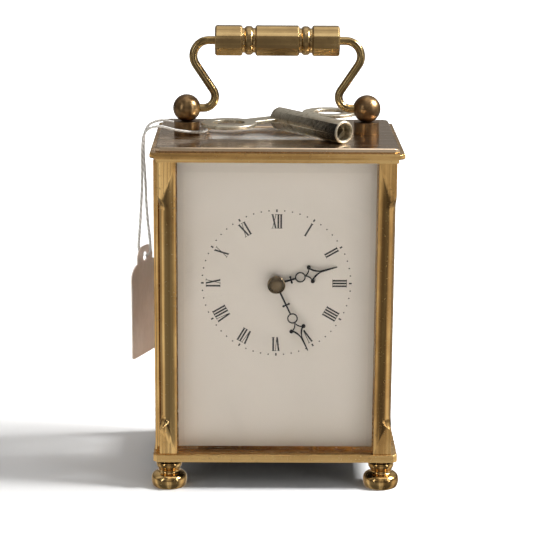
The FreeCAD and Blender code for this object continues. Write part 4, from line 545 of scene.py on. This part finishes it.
def soften(piece: Piece, width: float, segments: int = 2, angle: float = 32.0) -> None:
    """Rounds a piece's sharp edges with a small bevel."""
    bevel = piece.modifiers.new("worn_edges", "BEVEL")
    bevel.width = width
    bevel.segments = segments
    bevel.limit_method = "ANGLE"
    bevel.angle_limit = math.radians(angle)
    bevel.harden_normals = True
    bevel.use_clamp_overlap = True


def fine_copy(node: str, bevel_mm: float = 0.12, smooth: float = 32.0) -> Piece:
    """A welded, smooth-shaded copy of a CAD node with its edges slightly rounded.

    Args:
        node: the CAD node it stands for.
        bevel_mm: width of the edge rounding; 0 leaves the edges sharp.
        smooth: edges sharper than this many degrees are kept or rounded.

    Returns:
        The new object, which replaces the node.
    """
    shape = bmesh.new()
    shape.from_mesh(frame["nodes"][node].data)
    bmesh.ops.remove_doubles(shape, verts=shape.verts, dist=2e-7)
    bmesh.ops.dissolve_limit(shape, angle_limit=math.radians(0.3), verts=shape.verts,
                             edges=shape.edges)
    mesh = bpy.data.meshes.new("fine_" + node)
    shape.to_mesh(mesh)
    shape.free()
    mesh.shade_smooth()
    mesh.set_sharp_from_angle(angle=math.radians(smooth))
    piece = new_piece("fine_" + node, mesh)
    if bevel_mm:
        soften(piece, bevel_mm * MM, angle=smooth)
    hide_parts(node)
    return piece


def lathe(shape: Shape, profile: Sequence[tuple[float, float]], centre: Point,
          axis: str = "Z", steps: int = 72) -> None:
    """Adds a turned solid to a bmesh.

    Args:
        shape: where the faces go.
        profile: (radius, height) pairs in millimetres, from the bottom up.
        centre: the axis's foot, in metres.
        axis: "Z" or "Y", the direction in which the heights rise.
        steps: how many facets go round.
    """
    rings = []
    for radius, height in profile:
        ring = []
        for index in range(steps):
            angle = 2 * math.pi * index / steps
            a, b, c = radius * math.cos(angle), radius * math.sin(angle), height
            local = Vector((a, b, c)) if axis == "Z" else Vector((a, c, b))
            ring.append(shape.verts.new(Vector(centre) + local * MM))
        rings.append(ring)
    for low, high in zip(rings, rings[1:]):
        for index in range(steps):
            after = (index + 1) % steps
            shape.faces.new((low[index], low[after], high[after], high[index]))
    shape.faces.new(rings[0])
    shape.faces.new(rings[-1])


def rounded(points: Sequence[tuple[float, float]], passes: int = 3) -> list[tuple[float, float]]:
    """Cuts the corners of an open outline again and again, so that it turns smoothly."""
    line = list(points)
    for _ in range(passes):
        cut = [line[0]]
        for (x1, y1), (x2, y2) in zip(line, line[1:]):
            cut += [(0.75 * x1 + 0.25 * x2, 0.75 * y1 + 0.25 * y2),
                    (0.25 * x1 + 0.75 * x2, 0.25 * y1 + 0.75 * y2)]
        line = cut + [line[-1]]
    return line


def slab(shape: Shape, outline: Sequence[Vector], depth: Vector) -> None:
    """Adds a flat plate: a closed outline pushed along depth."""
    front = [shape.verts.new(point) for point in outline]
    back = [shape.verts.new(point + depth) for point in outline]
    shape.faces.new(front)
    shape.faces.new(back[::-1])
    for index in range(len(front)):
        after = (index + 1) % len(front)
        shape.faces.new((front[index], back[index], back[after], front[after]))


# ------------ case

@dataclass
class Case:
    """Base, feet, posts, cornice, top plate and panes."""

    palette: Palette
    edge: float = 0.16
    foot_x: float = 35.5
    foot_y: float = 25.6
    foot_profile: list[tuple[float, float]] = field(default_factory=lambda: [
        (4.75, 0.0), (5.25, 0.0), (5.62, 0.35), (5.95, 1.5), (5.97, 2.7), (5.75, 3.75),
        (4.9, 4.55), (3.8, 4.95), (3.5, 5.5), (3.62, 6.1), (3.95, 6.45), (4.0, 6.75),
        (4.25, 7.1), (4.3, 7.9), (4.1, 8.5), (3.75, 8.75), (3.6, 9.0), (3.9, 9.3), (3.9, 9.5)])

    def build(self) -> list[Piece]:
        """Makes and places every piece of the case. Returns the pieces."""
        made = [self._feet()]
        finishes = {"base_plate": "base", "cornice": "moulding", "top_plate": "deck",
                    "front_left_post": "post", "front_right_post": "post",
                    "rear_left_post": "post", "rear_right_post": "post",
                    "left_side_frame": "post", "pillar_nuts": "works"}
        for node, finish in finishes.items():
            piece = fine_copy(node, self.edge)
            made.append(self.palette.give(piece, finish, "polished_brass", "case"))
        for node in ("front_glass", "left_glass", "right_glass", "top_glass"):
            finish = "top_glass" if node == "top_glass" else "glass"
            self.palette.dress(frame["nodes"][node], finish)
        self.palette.dress(frame["nodes"]["post_screws"], "blue")
        return made

    def _feet(self) -> Piece:
        """The four turned feet, in one piece."""
        low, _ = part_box("feet")
        shape = bmesh.new()
        profile = rounded(self.foot_profile, 2)
        for side in (-1, 1):
            for face in (-1, 1):
                lathe(shape, profile, (side * self.foot_x * MM, face * self.foot_y * MM, low.z))
        piece = settle(shape, "turned_feet", 40.0)
        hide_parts("feet")
        return self.palette.give(piece, "feet", "polished_brass", "case")


@dataclass
class Door:
    """The glazed rear door with its milled knob."""

    palette: Palette
    milling: int = 30

    def build(self) -> list[Piece]:
        """Makes the frame, the pins and the knob. Returns the pieces."""
        made = [self.palette.give(fine_copy(node, edge), "post", "polished_brass", "door")
                for node, edge in (("door_frame", 0.14), ("door_hinge_pins", 0.0))]
        self.palette.dress(frame["nodes"]["door_glass"], "glass")
        return made + [self._knob()]

    def _knob(self) -> Piece:
        """A turned knob with a milled rim."""
        low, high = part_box("door_knob")
        radius = (high.x - low.x) / 2 / MM
        length = (high.y - low.y) / MM
        centre = ((low.x + high.x) / 2, low.y, (low.z + high.z) / 2)
        shape = bmesh.new()
        profile = [(0.05, 0.0), (1.9, 0.0), (1.95, 0.25), (1.9, 0.55), (0.85, 0.62), (0.85, 3.6),
                   (1.35, 3.75), (1.5, 4.1), (radius - 0.12, 4.5), (radius, 4.65),
                   (radius, length - 0.75), (radius - 0.15, length - 0.55),
                   (radius - 0.7, length - 0.12), (0.6, length), (0.05, length)]
        lathe(shape, profile, centre, "Y", self.milling * 2)
        rim = [v for v in shape.verts if (Vector((v.co.x - centre[0], v.co.z - centre[2])).length
                                          > (radius - 0.06) * MM)]
        for vert in rim:
            offset = Vector((vert.co.x - centre[0], 0.0, vert.co.z - centre[2]))
            step = round(math.atan2(offset.z, offset.x) / (math.pi / self.milling))
            if step % 2:
                vert.co -= offset.normalized() * 0.14 * MM
        piece = settle(shape, "milled_door_knob", 28.0)
        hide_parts("door_knob")
        return self.palette.give(piece, "post", "polished_brass", "door")


# ------------ handle

@dataclass
class Handle:
    """The ball pillars and the folding handle."""

    palette: Palette

    def build(self) -> list[Piece]:
        """Dresses the pillars, arms and grip. Returns the pieces."""
        table = (("handle_pillars", "balls", "polished_brass", "case", 0.18, 45.0),
                 ("left_handle_arm", "arms", "aged_brass", "handle", 0.0, 40.0),
                 ("right_handle_arm", "arms", "aged_brass", "handle", 0.0, 40.0),
                 ("handle_grip", "grip", "aged_brass", "handle", 0.16, 26.0))
        return [self.palette.give(fine_copy(node, edge, smooth), finish, slot, body)
                for node, finish, slot, body, edge, smooth in table]


# ------------ dial

NUMERALS = ("XII", "I", "II", "III", "IIII", "V", "VI", "VII", "VIII", "IX", "X", "XI")


@dataclass
class Dial:
    """The enamelled plate with its printed chapter ring."""

    palette: Palette
    ring_radius: float = 24.4
    numeral_foot: float = 18.4
    numeral_height: float = 4.75
    thick: float = 0.56
    thin: float = 0.20
    ink_depth: float = 0.02

    WIDE = {"V": 1.45, "X": 1.55}

    def __post_init__(self) -> None:
        """Reads the dial's place from the frame."""
        low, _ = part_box("dial_plate")
        arbor_low, arbor_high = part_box("centre_arbor")
        self.centre = (arbor_low + arbor_high) / 2
        self.face_y = low.y

    def build(self) -> list[Piece]:
        """Prints the numerals and the minute track. Returns the pieces."""
        self.palette.dress(frame["nodes"]["dial_plate"], "enamel")
        return [self.palette.give(piece, "ink", "blued_steel", "case")
                for piece in (self._numerals(), self._minute_track())]

    def _stroke(self, shape: Shape, turn: float, low: tuple[float, float],
                high: tuple[float, float], width: float) -> None:
        """Adds one straight stroke of a letter.

        Args:
            shape: where the faces go.
            turn: the letter's place round the dial, in radians clockwise from the top.
            low: (x, height) of the stroke's foot in the letter's own millimetres.
            high: the same for its head.
            width: its width across, in millimetres.
        """
        corners = ((low[0] - width / 2, low[1]), (low[0] + width / 2, low[1]),
                   (high[0] + width / 2, high[1]), (high[0] - width / 2, high[1]))
        outline = [self._on_face(turn, x, self.numeral_foot + y) for x, y in corners]
        slab(shape, outline, Vector((0.0, -self.ink_depth * MM, 0.0)))

    def _on_face(self, turn: float, x: float, reach: float) -> Vector:
        """A point on the dial's face, x across and reach out along a radius, in millimetres."""
        right = Vector((math.cos(turn), 0.0, -math.sin(turn)))
        out = Vector((math.sin(turn), 0.0, math.cos(turn)))
        place = self.centre + (right * x + out * reach) * MM
        return Vector((place.x, self.face_y, place.z))

    def _letter(self, shape: Shape, turn: float, letter: str, left: float) -> float:
        """Adds a letter with its left edge at left. Returns its width."""
        top, serif = self.numeral_height, 0.16
        if letter == "I":
            width = self.thick
            middle = left + width / 2
            self._stroke(shape, turn, (middle, 0), (middle, top), self.thick)
            for level in (0.0, top - serif):
                self._stroke(shape, turn, (middle, level), (middle, level + serif), width + 0.34)
            return width
        width = self.WIDE[letter]
        first, last = left + self.thick / 2, left + width - self.thin / 2
        if letter == "V":
            foot = left + width * 0.56
            self._stroke(shape, turn, (foot, 0), (first, top), self.thick)
            self._stroke(shape, turn, (foot + 0.12, 0), (last, top), self.thin)
            feet = ()
        else:
            self._stroke(shape, turn, (last - 0.1, 0), (first, top), self.thick)
            self._stroke(shape, turn, (first, 0), (last, top), self.thin)
            feet = ((first, 0.0), (last - 0.1, 0.0))
        for x, level in feet + ((first, top - serif), (last, top - serif)):
            self._stroke(shape, turn, (x, level), (x, level + serif), 0.74)
        return width

    def _numerals(self) -> Piece:
        """The twelve hour numerals, their heads turned outward."""
        shape = bmesh.new()
        gap = 0.36
        widths = {"I": self.thick, **self.WIDE}
        for hour, numeral in enumerate(NUMERALS):
            turn = math.radians(30 * hour)
            total = sum(widths[letter] for letter in numeral) + gap * (len(numeral) - 1)
            left = -total / 2
            for letter in numeral:
                left += self._letter(shape, turn, letter, left) + gap
        mesh = bpy.data.meshes.new("dial_numerals")
        bmesh.ops.recalc_face_normals(shape, faces=shape.faces)
        shape.to_mesh(mesh)
        shape.free()
        return new_piece("dial_numerals", mesh)

    def _minute_track(self) -> Piece:
        """Sixty printed dots, with a taller mark at each hour, made by a node tree."""
        tree = RingTree("minute_track", self.palette.materials["ink"])
        turn = Matrix.Translation((self.centre.x, self.face_y - self.ink_depth * MM / 2,
                                   self.centre.z)) @ Matrix.Rotation(math.radians(90), 4, "X")
        dots = tree.bake("minute_dots", turn, count=60, radius=self.ring_radius * MM,
                         item_width=0.42 * MM, item_length=0.42 * MM,
                         item_depth=self.ink_depth * MM)
        marks = tree.bake("hour_marks", turn, count=12, radius=(self.ring_radius - 0.1) * MM,
                          item_width=0.52 * MM, item_length=0.90 * MM,
                          item_depth=self.ink_depth * 1.4 * MM)
        both = bmesh.new()
        for part in (dots, marks):
            both.from_mesh(part.data)
            bpy.data.objects.remove(part)
        mesh = bpy.data.meshes.new("minute_track")
        both.to_mesh(mesh)
        both.free()
        return new_piece("minute_track", mesh)


class RingTree:
    """A Geometry Nodes tree that sets small blocks evenly round a circle."""

    INPUTS = (("Count", "NodeSocketInt"), ("Radius", "NodeSocketFloat"),
              ("Item Width", "NodeSocketFloat"), ("Item Length", "NodeSocketFloat"),
              ("Item Depth", "NodeSocketFloat"))

    def __init__(self, name: str, material: bpy.types.Material) -> None:
        """Builds the tree.

        Args:
            name: the tree's name.
            material: what the blocks are made of.
        """
        self.tree = bpy.data.node_groups.new(name, "GeometryNodeTree")
        face = self.tree.interface
        for label, kind in self.INPUTS:
            face.new_socket(label, in_out="INPUT", socket_type=kind)
        face.new_socket("Geometry", in_out="OUTPUT", socket_type="NodeSocketGeometry")
        self.sizes = self._add("NodeGroupInput")
        block = self._add("GeometryNodeMeshCube")
        size = self._add("ShaderNodeCombineXYZ")
        for label, letter in (("Item Length", "X"), ("Item Width", "Y"), ("Item Depth", "Z")):
            self._join(self.sizes.outputs[label], size.inputs[letter])
        self._join(size.outputs[0], block.inputs["Size"])
        ring = self._add("GeometryNodeMeshCircle")
        for label, target in (("Count", "Vertices"), ("Radius", "Radius")):
            self._join(self.sizes.outputs[label], ring.inputs[target])
        place = self._add("GeometryNodeInputPosition")
        aim = self._add("FunctionNodeAlignRotationToVector")
        aim.axis = "X"
        self._join(place.outputs[0], aim.inputs["Vector"])
        spread = self._add("GeometryNodeInstanceOnPoints")
        for item, target in ((ring, "Points"), (block, "Instance"), (aim, "Rotation")):
            self._join(item.outputs[0], spread.inputs[target])
        real = self._add("GeometryNodeRealizeInstances")
        self._join(spread.outputs[0], real.inputs[0])
        paint = self._add("GeometryNodeSetMaterial")
        paint.inputs["Material"].default_value = material
        self._join(real.outputs[0], paint.inputs["Geometry"])
        out = self._add("NodeGroupOutput")
        self._join(paint.outputs[0], out.inputs[0])

    def _add(self, kind: str) -> bpy.types.Node:
        """Adds a node of a kind."""
        return self.tree.nodes.new(kind)

    def _join(self, source: Socket, target: Socket) -> None:
        """Links two sockets."""
        self.tree.links.new(source, target)

    def bake(self, name: str, place: Matrix, **sizes: Number) -> Piece:
        """Runs the tree once and keeps its result as a plain mesh.

        Args:
            name: the new object's name.
            place: where the circle goes.
            sizes: a value for each named input, in lower case with underscores.

        Returns:
            The object, at the origin with its place in its mesh.
        """
        holder = new_piece(name + "_holder", bpy.data.meshes.new(name + "_seed"))
        modifier = holder.modifiers.new("ring", "NODES")
        modifier.node_group = self.tree
        for item in self.tree.interface.items_tree:
            if item.in_out == "INPUT":
                modifier[item.identifier] = sizes[item.name.lower().replace(" ", "_")]
        graph = bpy.context.evaluated_depsgraph_get()
        mesh = bpy.data.meshes.new_from_object(holder.evaluated_get(graph))
        holder.modifiers.remove(modifier)
        bpy.data.objects.remove(holder)
        mesh.transform(place)
        return new_piece(name, mesh)


@dataclass
class Hands:
    """The openwork steel hands and the brass boss that holds them."""

    palette: Palette

    def build(self) -> list[Piece]:
        """Dresses the hands. Returns the pieces."""
        made = [self.palette.give(fine_copy(node, 0.07, 40.0), "hands", "blued_steel", body)
                for node, body in (("hour_hand", "hour_group"), ("minute_hand", "minute_group"))]
        return made + [self._boss()]

    def _boss(self) -> Piece:
        """A turned, domed collet."""
        low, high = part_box("hand_boss")
        radius, depth = (high.x - low.x) / 2 / MM, (high.y - low.y) / MM
        centre = ((low.x + high.x) / 2, high.y, (low.z + high.z) / 2)
        shape = bmesh.new()
        dome = rounded([(1.0, 0.30), (0.985, 0.42), (0.92, 0.60), (0.76, 0.80), (0.50, 0.93),
                        (0.25, 0.99), (0.017, 1.0)], 2)
        profile = [(0.05, 0.0), (radius - 0.08, 0.0), (radius, -0.08)]
        profile += [(radius * across, -depth * out) for across, out in dome]
        lathe(shape, profile, centre, "Y", 64)
        piece = settle(shape, "domed_boss", 30.0)
        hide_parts("hand_boss")
        return self.palette.give(piece, "boss", "polished_brass", "minute_group")


# ------------ movement

@dataclass
class Movement:
    """Plates, train and platform behind the dial."""

    palette: Palette

    FINISHES = {
        "works": ("movement_front_plate", "movement_back_plate", "movement_pillars", "platform",
                  "balance_cock", "dial_feet", "barrel_cover"),
        "wheels": ("centre_wheel", "third_wheel", "contrate_wheel", "minute_wheel", "hour_wheel",
                   "barrel"),
        "steel": ("minute_stud", "centre_arbor", "cannon_pinion", "barrel_arbor", "click",
                  "ratchet_wheel", "escape_wheel", "lever", "lever_bridge"),
        "blue": ("hairspring", "mainspring", "click_spring", "platform_screws", "movement_screws",
                 "regulator"),
    }

    def build(self) -> list[Piece]:
        """Dresses the train and adds the balance and its jewels. Returns the pieces."""
        made = []
        smooth = {"movement_pillars", "barrel", "barrel_cover", "barrel_arbor", "balance_cock",
                  "lever_bridge", "movement_screws", "platform_screws", "platform",
                  "movement_back_plate", "movement_front_plate", "ratchet_wheel"}
        bodies = {node: body for body, nodes in frame["record"]["behaviour"]["bodies"].items()
                  for node in nodes}
        for finish, nodes in self.FINISHES.items():
            for node in nodes:
                piece = frame["nodes"][node]
                if node in smooth:
                    piece = fine_copy(node, 0.10)
                    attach(piece, bodies[node])
                    made.append(piece)
                self.palette.dress(piece, finish)
        made += [self._balance(), self._jewels()]
        return made

    def _balance(self) -> Piece:
        """The balance wheel with its ring of timing screws."""
        return self.palette.give(fine_copy("balance_wheel", 0.06), "wheels", "movement_brass",
                                 "balance")

    def _jewels(self) -> Piece:
        """A ruby bearing over the balance staff."""
        _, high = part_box("balance_cock")
        staff_low, staff_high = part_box("balance_wheel")
        x, y = (staff_low.x + staff_high.x) / 2, (staff_low.y + staff_high.y) / 2
        shape = bmesh.new()
        profile = [(0.40, 0.0), (0.95, 0.0), (0.98, 0.06), (0.9, 0.16), (0.45, 0.16), (0.40, 0.10)]
        lathe(shape, profile, (x, y, high.z), "Z", 40)
        piece = settle(shape, "ruby_bearing", 30.0)
        return self.palette.give(piece, "ruby", "bevelled_glass", "case")


# ------------ key

@dataclass
class Key:
    """The winding key that lies on the top plate."""

    palette: Palette
    bore_share: float = 0.80
    rim: float = 0.2

    def build(self) -> list[Piece]:
        """Dresses the pipe and the wing. Returns the pieces."""
        pipe, wing = (self.palette.give(fine_copy(node, edge, 34.0), "key", "key_nickel", "key")
                      for node, edge in (("key_pipe", 0.22), ("key_wing", 0.30)))
        self._paint_bore_shade(pipe)
        return [pipe, wing]

    def _paint_bore_shade(self, piece: Piece) -> None:
        """Paints the faces inside the pipe's mouth a dull, near-black finish: painted shade in the
        bore.
        """
        low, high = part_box("key_pipe")
        middle = (low + high) / 2
        bore = self.bore_share * (high.z - low.z) / 2
        piece.data.materials.append(self.palette.materials["bore"])
        for face in piece.data.polygons:
            away = Vector((face.center.x - middle.x, 0.0, face.center.z - middle.z))
            if away.length < bore and face.center.y - low.y > self.rim * MM:
                face.material_index = 1


# ------------ string and tag

# Leaves the tag's hole, climbs the left side, goes round the left pillar and back down
STRING_ROUTE = [
    (-45.0, 0.1, 72.9), (-46.3, 0.45, 73.7), (-46.7, 0.2, 75.9), (-46.3, -0.8, 80.2),
    (-45.6, -1.8, 88.5), (-45.0, -2.4, 100.0), (-45.0, -3.4, 110.0), (-44.2, -4.6, 116.8),
    (-39.2, -6.2, 118.8), (-34.0, -7.6, 117.4), (-27.4, -6.6, 116.4), (-23.4, -2.6, 116.3),
    (-23.4, 2.6, 116.3), (-27.4, 6.6, 116.4), (-34.0, 7.6, 117.4), (-39.2, 6.4, 118.8),
    (-44.2, 4.9, 116.8), (-45.0, 3.6, 110.0), (-44.3, 2.4, 100.0), (-43.9, 1.6, 88.5),
    (-43.0, 0.6, 80.2), (-42.5, -0.3, 75.9), (-43.0, -0.5, 73.7), (-44.2, -0.1, 72.9),
]


@dataclass
class TagAndString:
    """The thin string round the left pillar and the card tag that hangs from it."""

    palette: Palette
    thread: float = 0.9
    length: float = 140.2

    def build(self) -> list[Piece]:
        """Returns the pieces."""
        tag = self._tag()
        string = self._string()
        return [tag, string]

    def _string(self) -> Piece:
        """One smooth curve along the route."""
        curve = bpy.data.curves.new("cotton_string", "CURVE")
        curve.dimensions = "3D"
        line = curve.splines.new("NURBS")
        line.points.add(len(STRING_ROUTE) - 1)
        for point, place in zip(line.points, STRING_ROUTE):
            point.co = (place[0] * MM, place[1] * MM, place[2] * MM, 1.0)
        line.order_u = 3
        line.use_endpoint_u = True
        line.resolution_u = 10
        curve.bevel_depth = self.thread * MM / 2
        curve.bevel_resolution = 4
        curve.use_fill_caps = True
        piece = bpy.data.objects.new("cotton_string", curve)
        bpy.context.scene.collection.objects.link(piece)
        curve.materials.append(self.palette.materials["cotton"])
        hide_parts("string")
        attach(piece, "case")
        return piece

    def _tag(self) -> Piece:
        """The card, cut with soft corners and slightly curled."""
        return self.palette.give(fine_copy("tag", 0.12), "card", "tag_card", "case")


# ------------ studio

@dataclass
class Studio:
    """Floor, backdrop, lights and camera."""

    eye: Point = (-0.0067, -0.6093, 0.2180)
    yaw: float = 0.61
    pitch: float = 13.98
    roll: float = 0.42
    lens: float = 120.4
    surroundings: float = 0.80

    # (place, colour): 0 is straight down, 0.5 level, 1 straight up
    BY_HEIGHT = ((0.0, (0.55, 0.53, 0.50)), (0.24, (0.60, 0.57, 0.53)), (0.30, (0.98, 0.94, 0.88)),
                 (0.44, (1.0, 0.96, 0.90)), (0.49, (0.30, 0.27, 0.24)), (0.56, (0.30, 0.28, 0.26)),
                 (0.66, (0.62, 0.60, 0.57)), (0.80, (0.85, 0.83, 0.80)), (1.0, (1.0, 0.99, 0.97)))
    # (place, grey): 0 and 1 are behind, 0.25 left, 0.5 in front, 0.75 right
    BY_TURN = ((0.0, 0.75), (0.19, 0.30), (0.245, 0.95), (0.30, 0.20), (0.42, 0.16),
               (0.462, 0.34), (0.478, 1.0), (0.488, 0.90), (0.500, 0.30), (0.516, 0.80),
               (0.530, 0.60), (0.56, 0.16), (0.68, 0.16), (0.735, 1.0), (0.785, 0.9),
               (0.84, 0.30), (1.0, 0.75))

    def build(self) -> None:
        """Sets the whole studio up."""
        self._floor()
        self._world()
        self._lights()
        self._camera()
        bpy.context.scene.view_settings.view_transform = "Standard"

    def _floor(self) -> None:
        """A wide white floor that glows more and more with distance, so that it has no horizon."""
        shape = bmesh.new()
        bmesh.ops.create_grid(shape, x_segments=1, y_segments=1, size=9.0)
        mesh = bpy.data.meshes.new("floor")
        shape.to_mesh(mesh)
        shape.free()
        floor = new_piece("floor", mesh)
        paint = Paint("floor_paint")
        reach = paint.node("ShaderNodeVectorMath", {"operation": "LENGTH"},
                           {0: paint.place()}, "Value")
        glow = paint.mix(reach.ramp(0.28, 0.75), (0.0, 0.0, 0.0), (1.0, 1.0, 1.0))
        floor.data.materials.append(paint.set(
            Base_Color=(0.90, 0.90, 0.90), Roughness=0.8, Emission_Color=glow,
            Emission_Strength=1.0).material)
        floor.visible_glossy = False

    def _world(self) -> None:
        """Soft surroundings: bright above, dim low down, in upright bands that brass mirrors."""
        world = bpy.data.worlds.new("surroundings")
        bpy.context.scene.world = world
        world.use_nodes = True
        tree = world.node_tree
        back = next(n for n in tree.nodes if n.type == "BACKGROUND")
        where = tree.nodes.new("ShaderNodeTexCoord")
        split = tree.nodes.new("ShaderNodeSeparateXYZ")
        tree.links.new(where.outputs["Generated"], split.inputs[0])
        height = self._maths(tree, "MULTIPLY_ADD", split.outputs["Z"], 0.5, 0.5)
        front = self._maths(tree, "MULTIPLY", split.outputs["Y"], -1.0)
        turn = self._maths(tree, "ARCTAN2", split.outputs["X"], front)
        around = self._maths(tree, "MULTIPLY_ADD", turn, 0.5 / math.pi, 0.5)
        both = tree.nodes.new("ShaderNodeMix")
        both.data_type = "RGBA"
        both.blend_type = "MULTIPLY"
        both.inputs[0].default_value = 1.0
        tree.links.new(self._stops(tree, height, self.BY_HEIGHT), both.inputs[6])
        tree.links.new(self._stops(tree, around, self.BY_TURN), both.inputs[7])
        tree.links.new(both.outputs[2], back.inputs["Color"])
        back.inputs["Strength"].default_value = self.surroundings

    def _maths(self, tree: Tree, operation: str,
               *values: Union[Socket, Number]) -> Socket:
        """Adds a Math node to the world's tree and returns its output."""
        item = tree.nodes.new("ShaderNodeMath")
        item.operation = operation
        for socket, value in zip(item.inputs, values):
            if isinstance(value, Socket):
                tree.links.new(value, socket)
            else:
                socket.default_value = value
        return item.outputs[0]

    def _stops(self, tree: Tree, source: Socket,
               stops: Sequence[tuple[float, Union[float, Colour]]]) -> Socket:
        """A colour ramp through stops of (place, colour or grey)."""
        item = tree.nodes.new("ShaderNodeValToRGB")
        tree.links.new(source, item.inputs[0])
        ramp = item.color_ramp
        while len(ramp.elements) < len(stops):
            ramp.elements.new(0.5)
        for element, (place, colour) in zip(ramp.elements, stops):
            element.position = place
            element.color = ((colour,) * 3 if isinstance(colour, float) else colour) + (1.0,)
        return item.outputs[0]

    def _lights(self) -> None:
        """A large soft box overhead, a key light high on the right, and two tall strips."""
        self._area("overhead", (0.10, 0.05, 1.15), (0.0, 0.0, 0.0), 1.1, 0.9, 2.6)
        self._area("high_right", (0.80, -0.02, 0.74), (0.0, 0.0, 0.03), 0.34, 0.34, 25.0)
        self._area("left_strip", (-0.75, -0.75, 0.45), (0.0, 0.0, 0.08), 0.10, 0.9, 1.1)
        self._area("right_strip", (0.85, -0.60, 0.40), (0.0, 0.0, 0.08), 0.12, 0.9, 1.6)

    def _area(self, name: str, place: Point, target: Point, wide: float, tall: float,
              power: float) -> None:
        """Adds a rectangular light that faces a point."""
        data = bpy.data.lights.new(name, "AREA")
        data.shape = "RECTANGLE"
        data.size, data.size_y = wide, tall
        data.energy = power
        lamp = bpy.data.objects.new(name, data)
        bpy.context.scene.collection.objects.link(lamp)
        aim = Vector(target) - Vector(place)
        turn = aim.to_track_quat("-Z", "Y").to_matrix().to_4x4()
        lamp.matrix_world = Matrix.Translation(place) @ turn

    def _camera(self) -> None:
        """The viewing camera, turned by its yaw, pitch and roll."""
        yaw, pitch, roll = (math.radians(v) for v in (self.yaw, self.pitch, self.roll))
        ahead = Vector((math.sin(yaw) * math.cos(pitch), math.cos(yaw) * math.cos(pitch),
                        -math.sin(pitch)))
        level = Vector((math.cos(yaw), -math.sin(yaw), 0.0))
        above = level.cross(ahead)
        right = level * math.cos(roll) + above * math.sin(roll)
        up = above * math.cos(roll) - level * math.sin(roll)
        data = bpy.data.cameras.new("camera")
        data.lens, data.sensor_width = self.lens, 36.0
        data.clip_start = 0.01
        camera = bpy.data.objects.new("camera", data)
        bpy.context.scene.collection.objects.link(camera)
        turn = Matrix((right, up, -ahead)).transposed().to_4x4()
        camera.matrix_world = Matrix.Translation(self.eye) @ turn
        bpy.context.scene.camera = camera


# ------------ main

def main() -> None:
    """Builds the clock's sub-assemblies in order."""
    logging.basicConfig(level=logging.INFO, format="%(name)s: %(message)s")
    palette = Palette()
    Studio().build()
    for part in (Case(palette), Door(palette), Handle(palette), Dial(palette), Hands(palette),
                 Movement(palette), Key(palette), TagAndString(palette)):
        for piece in part.build():
            LOG.info("%s: %s", type(part).__name__, piece.name)


if __name__ == "__main__":
    main()
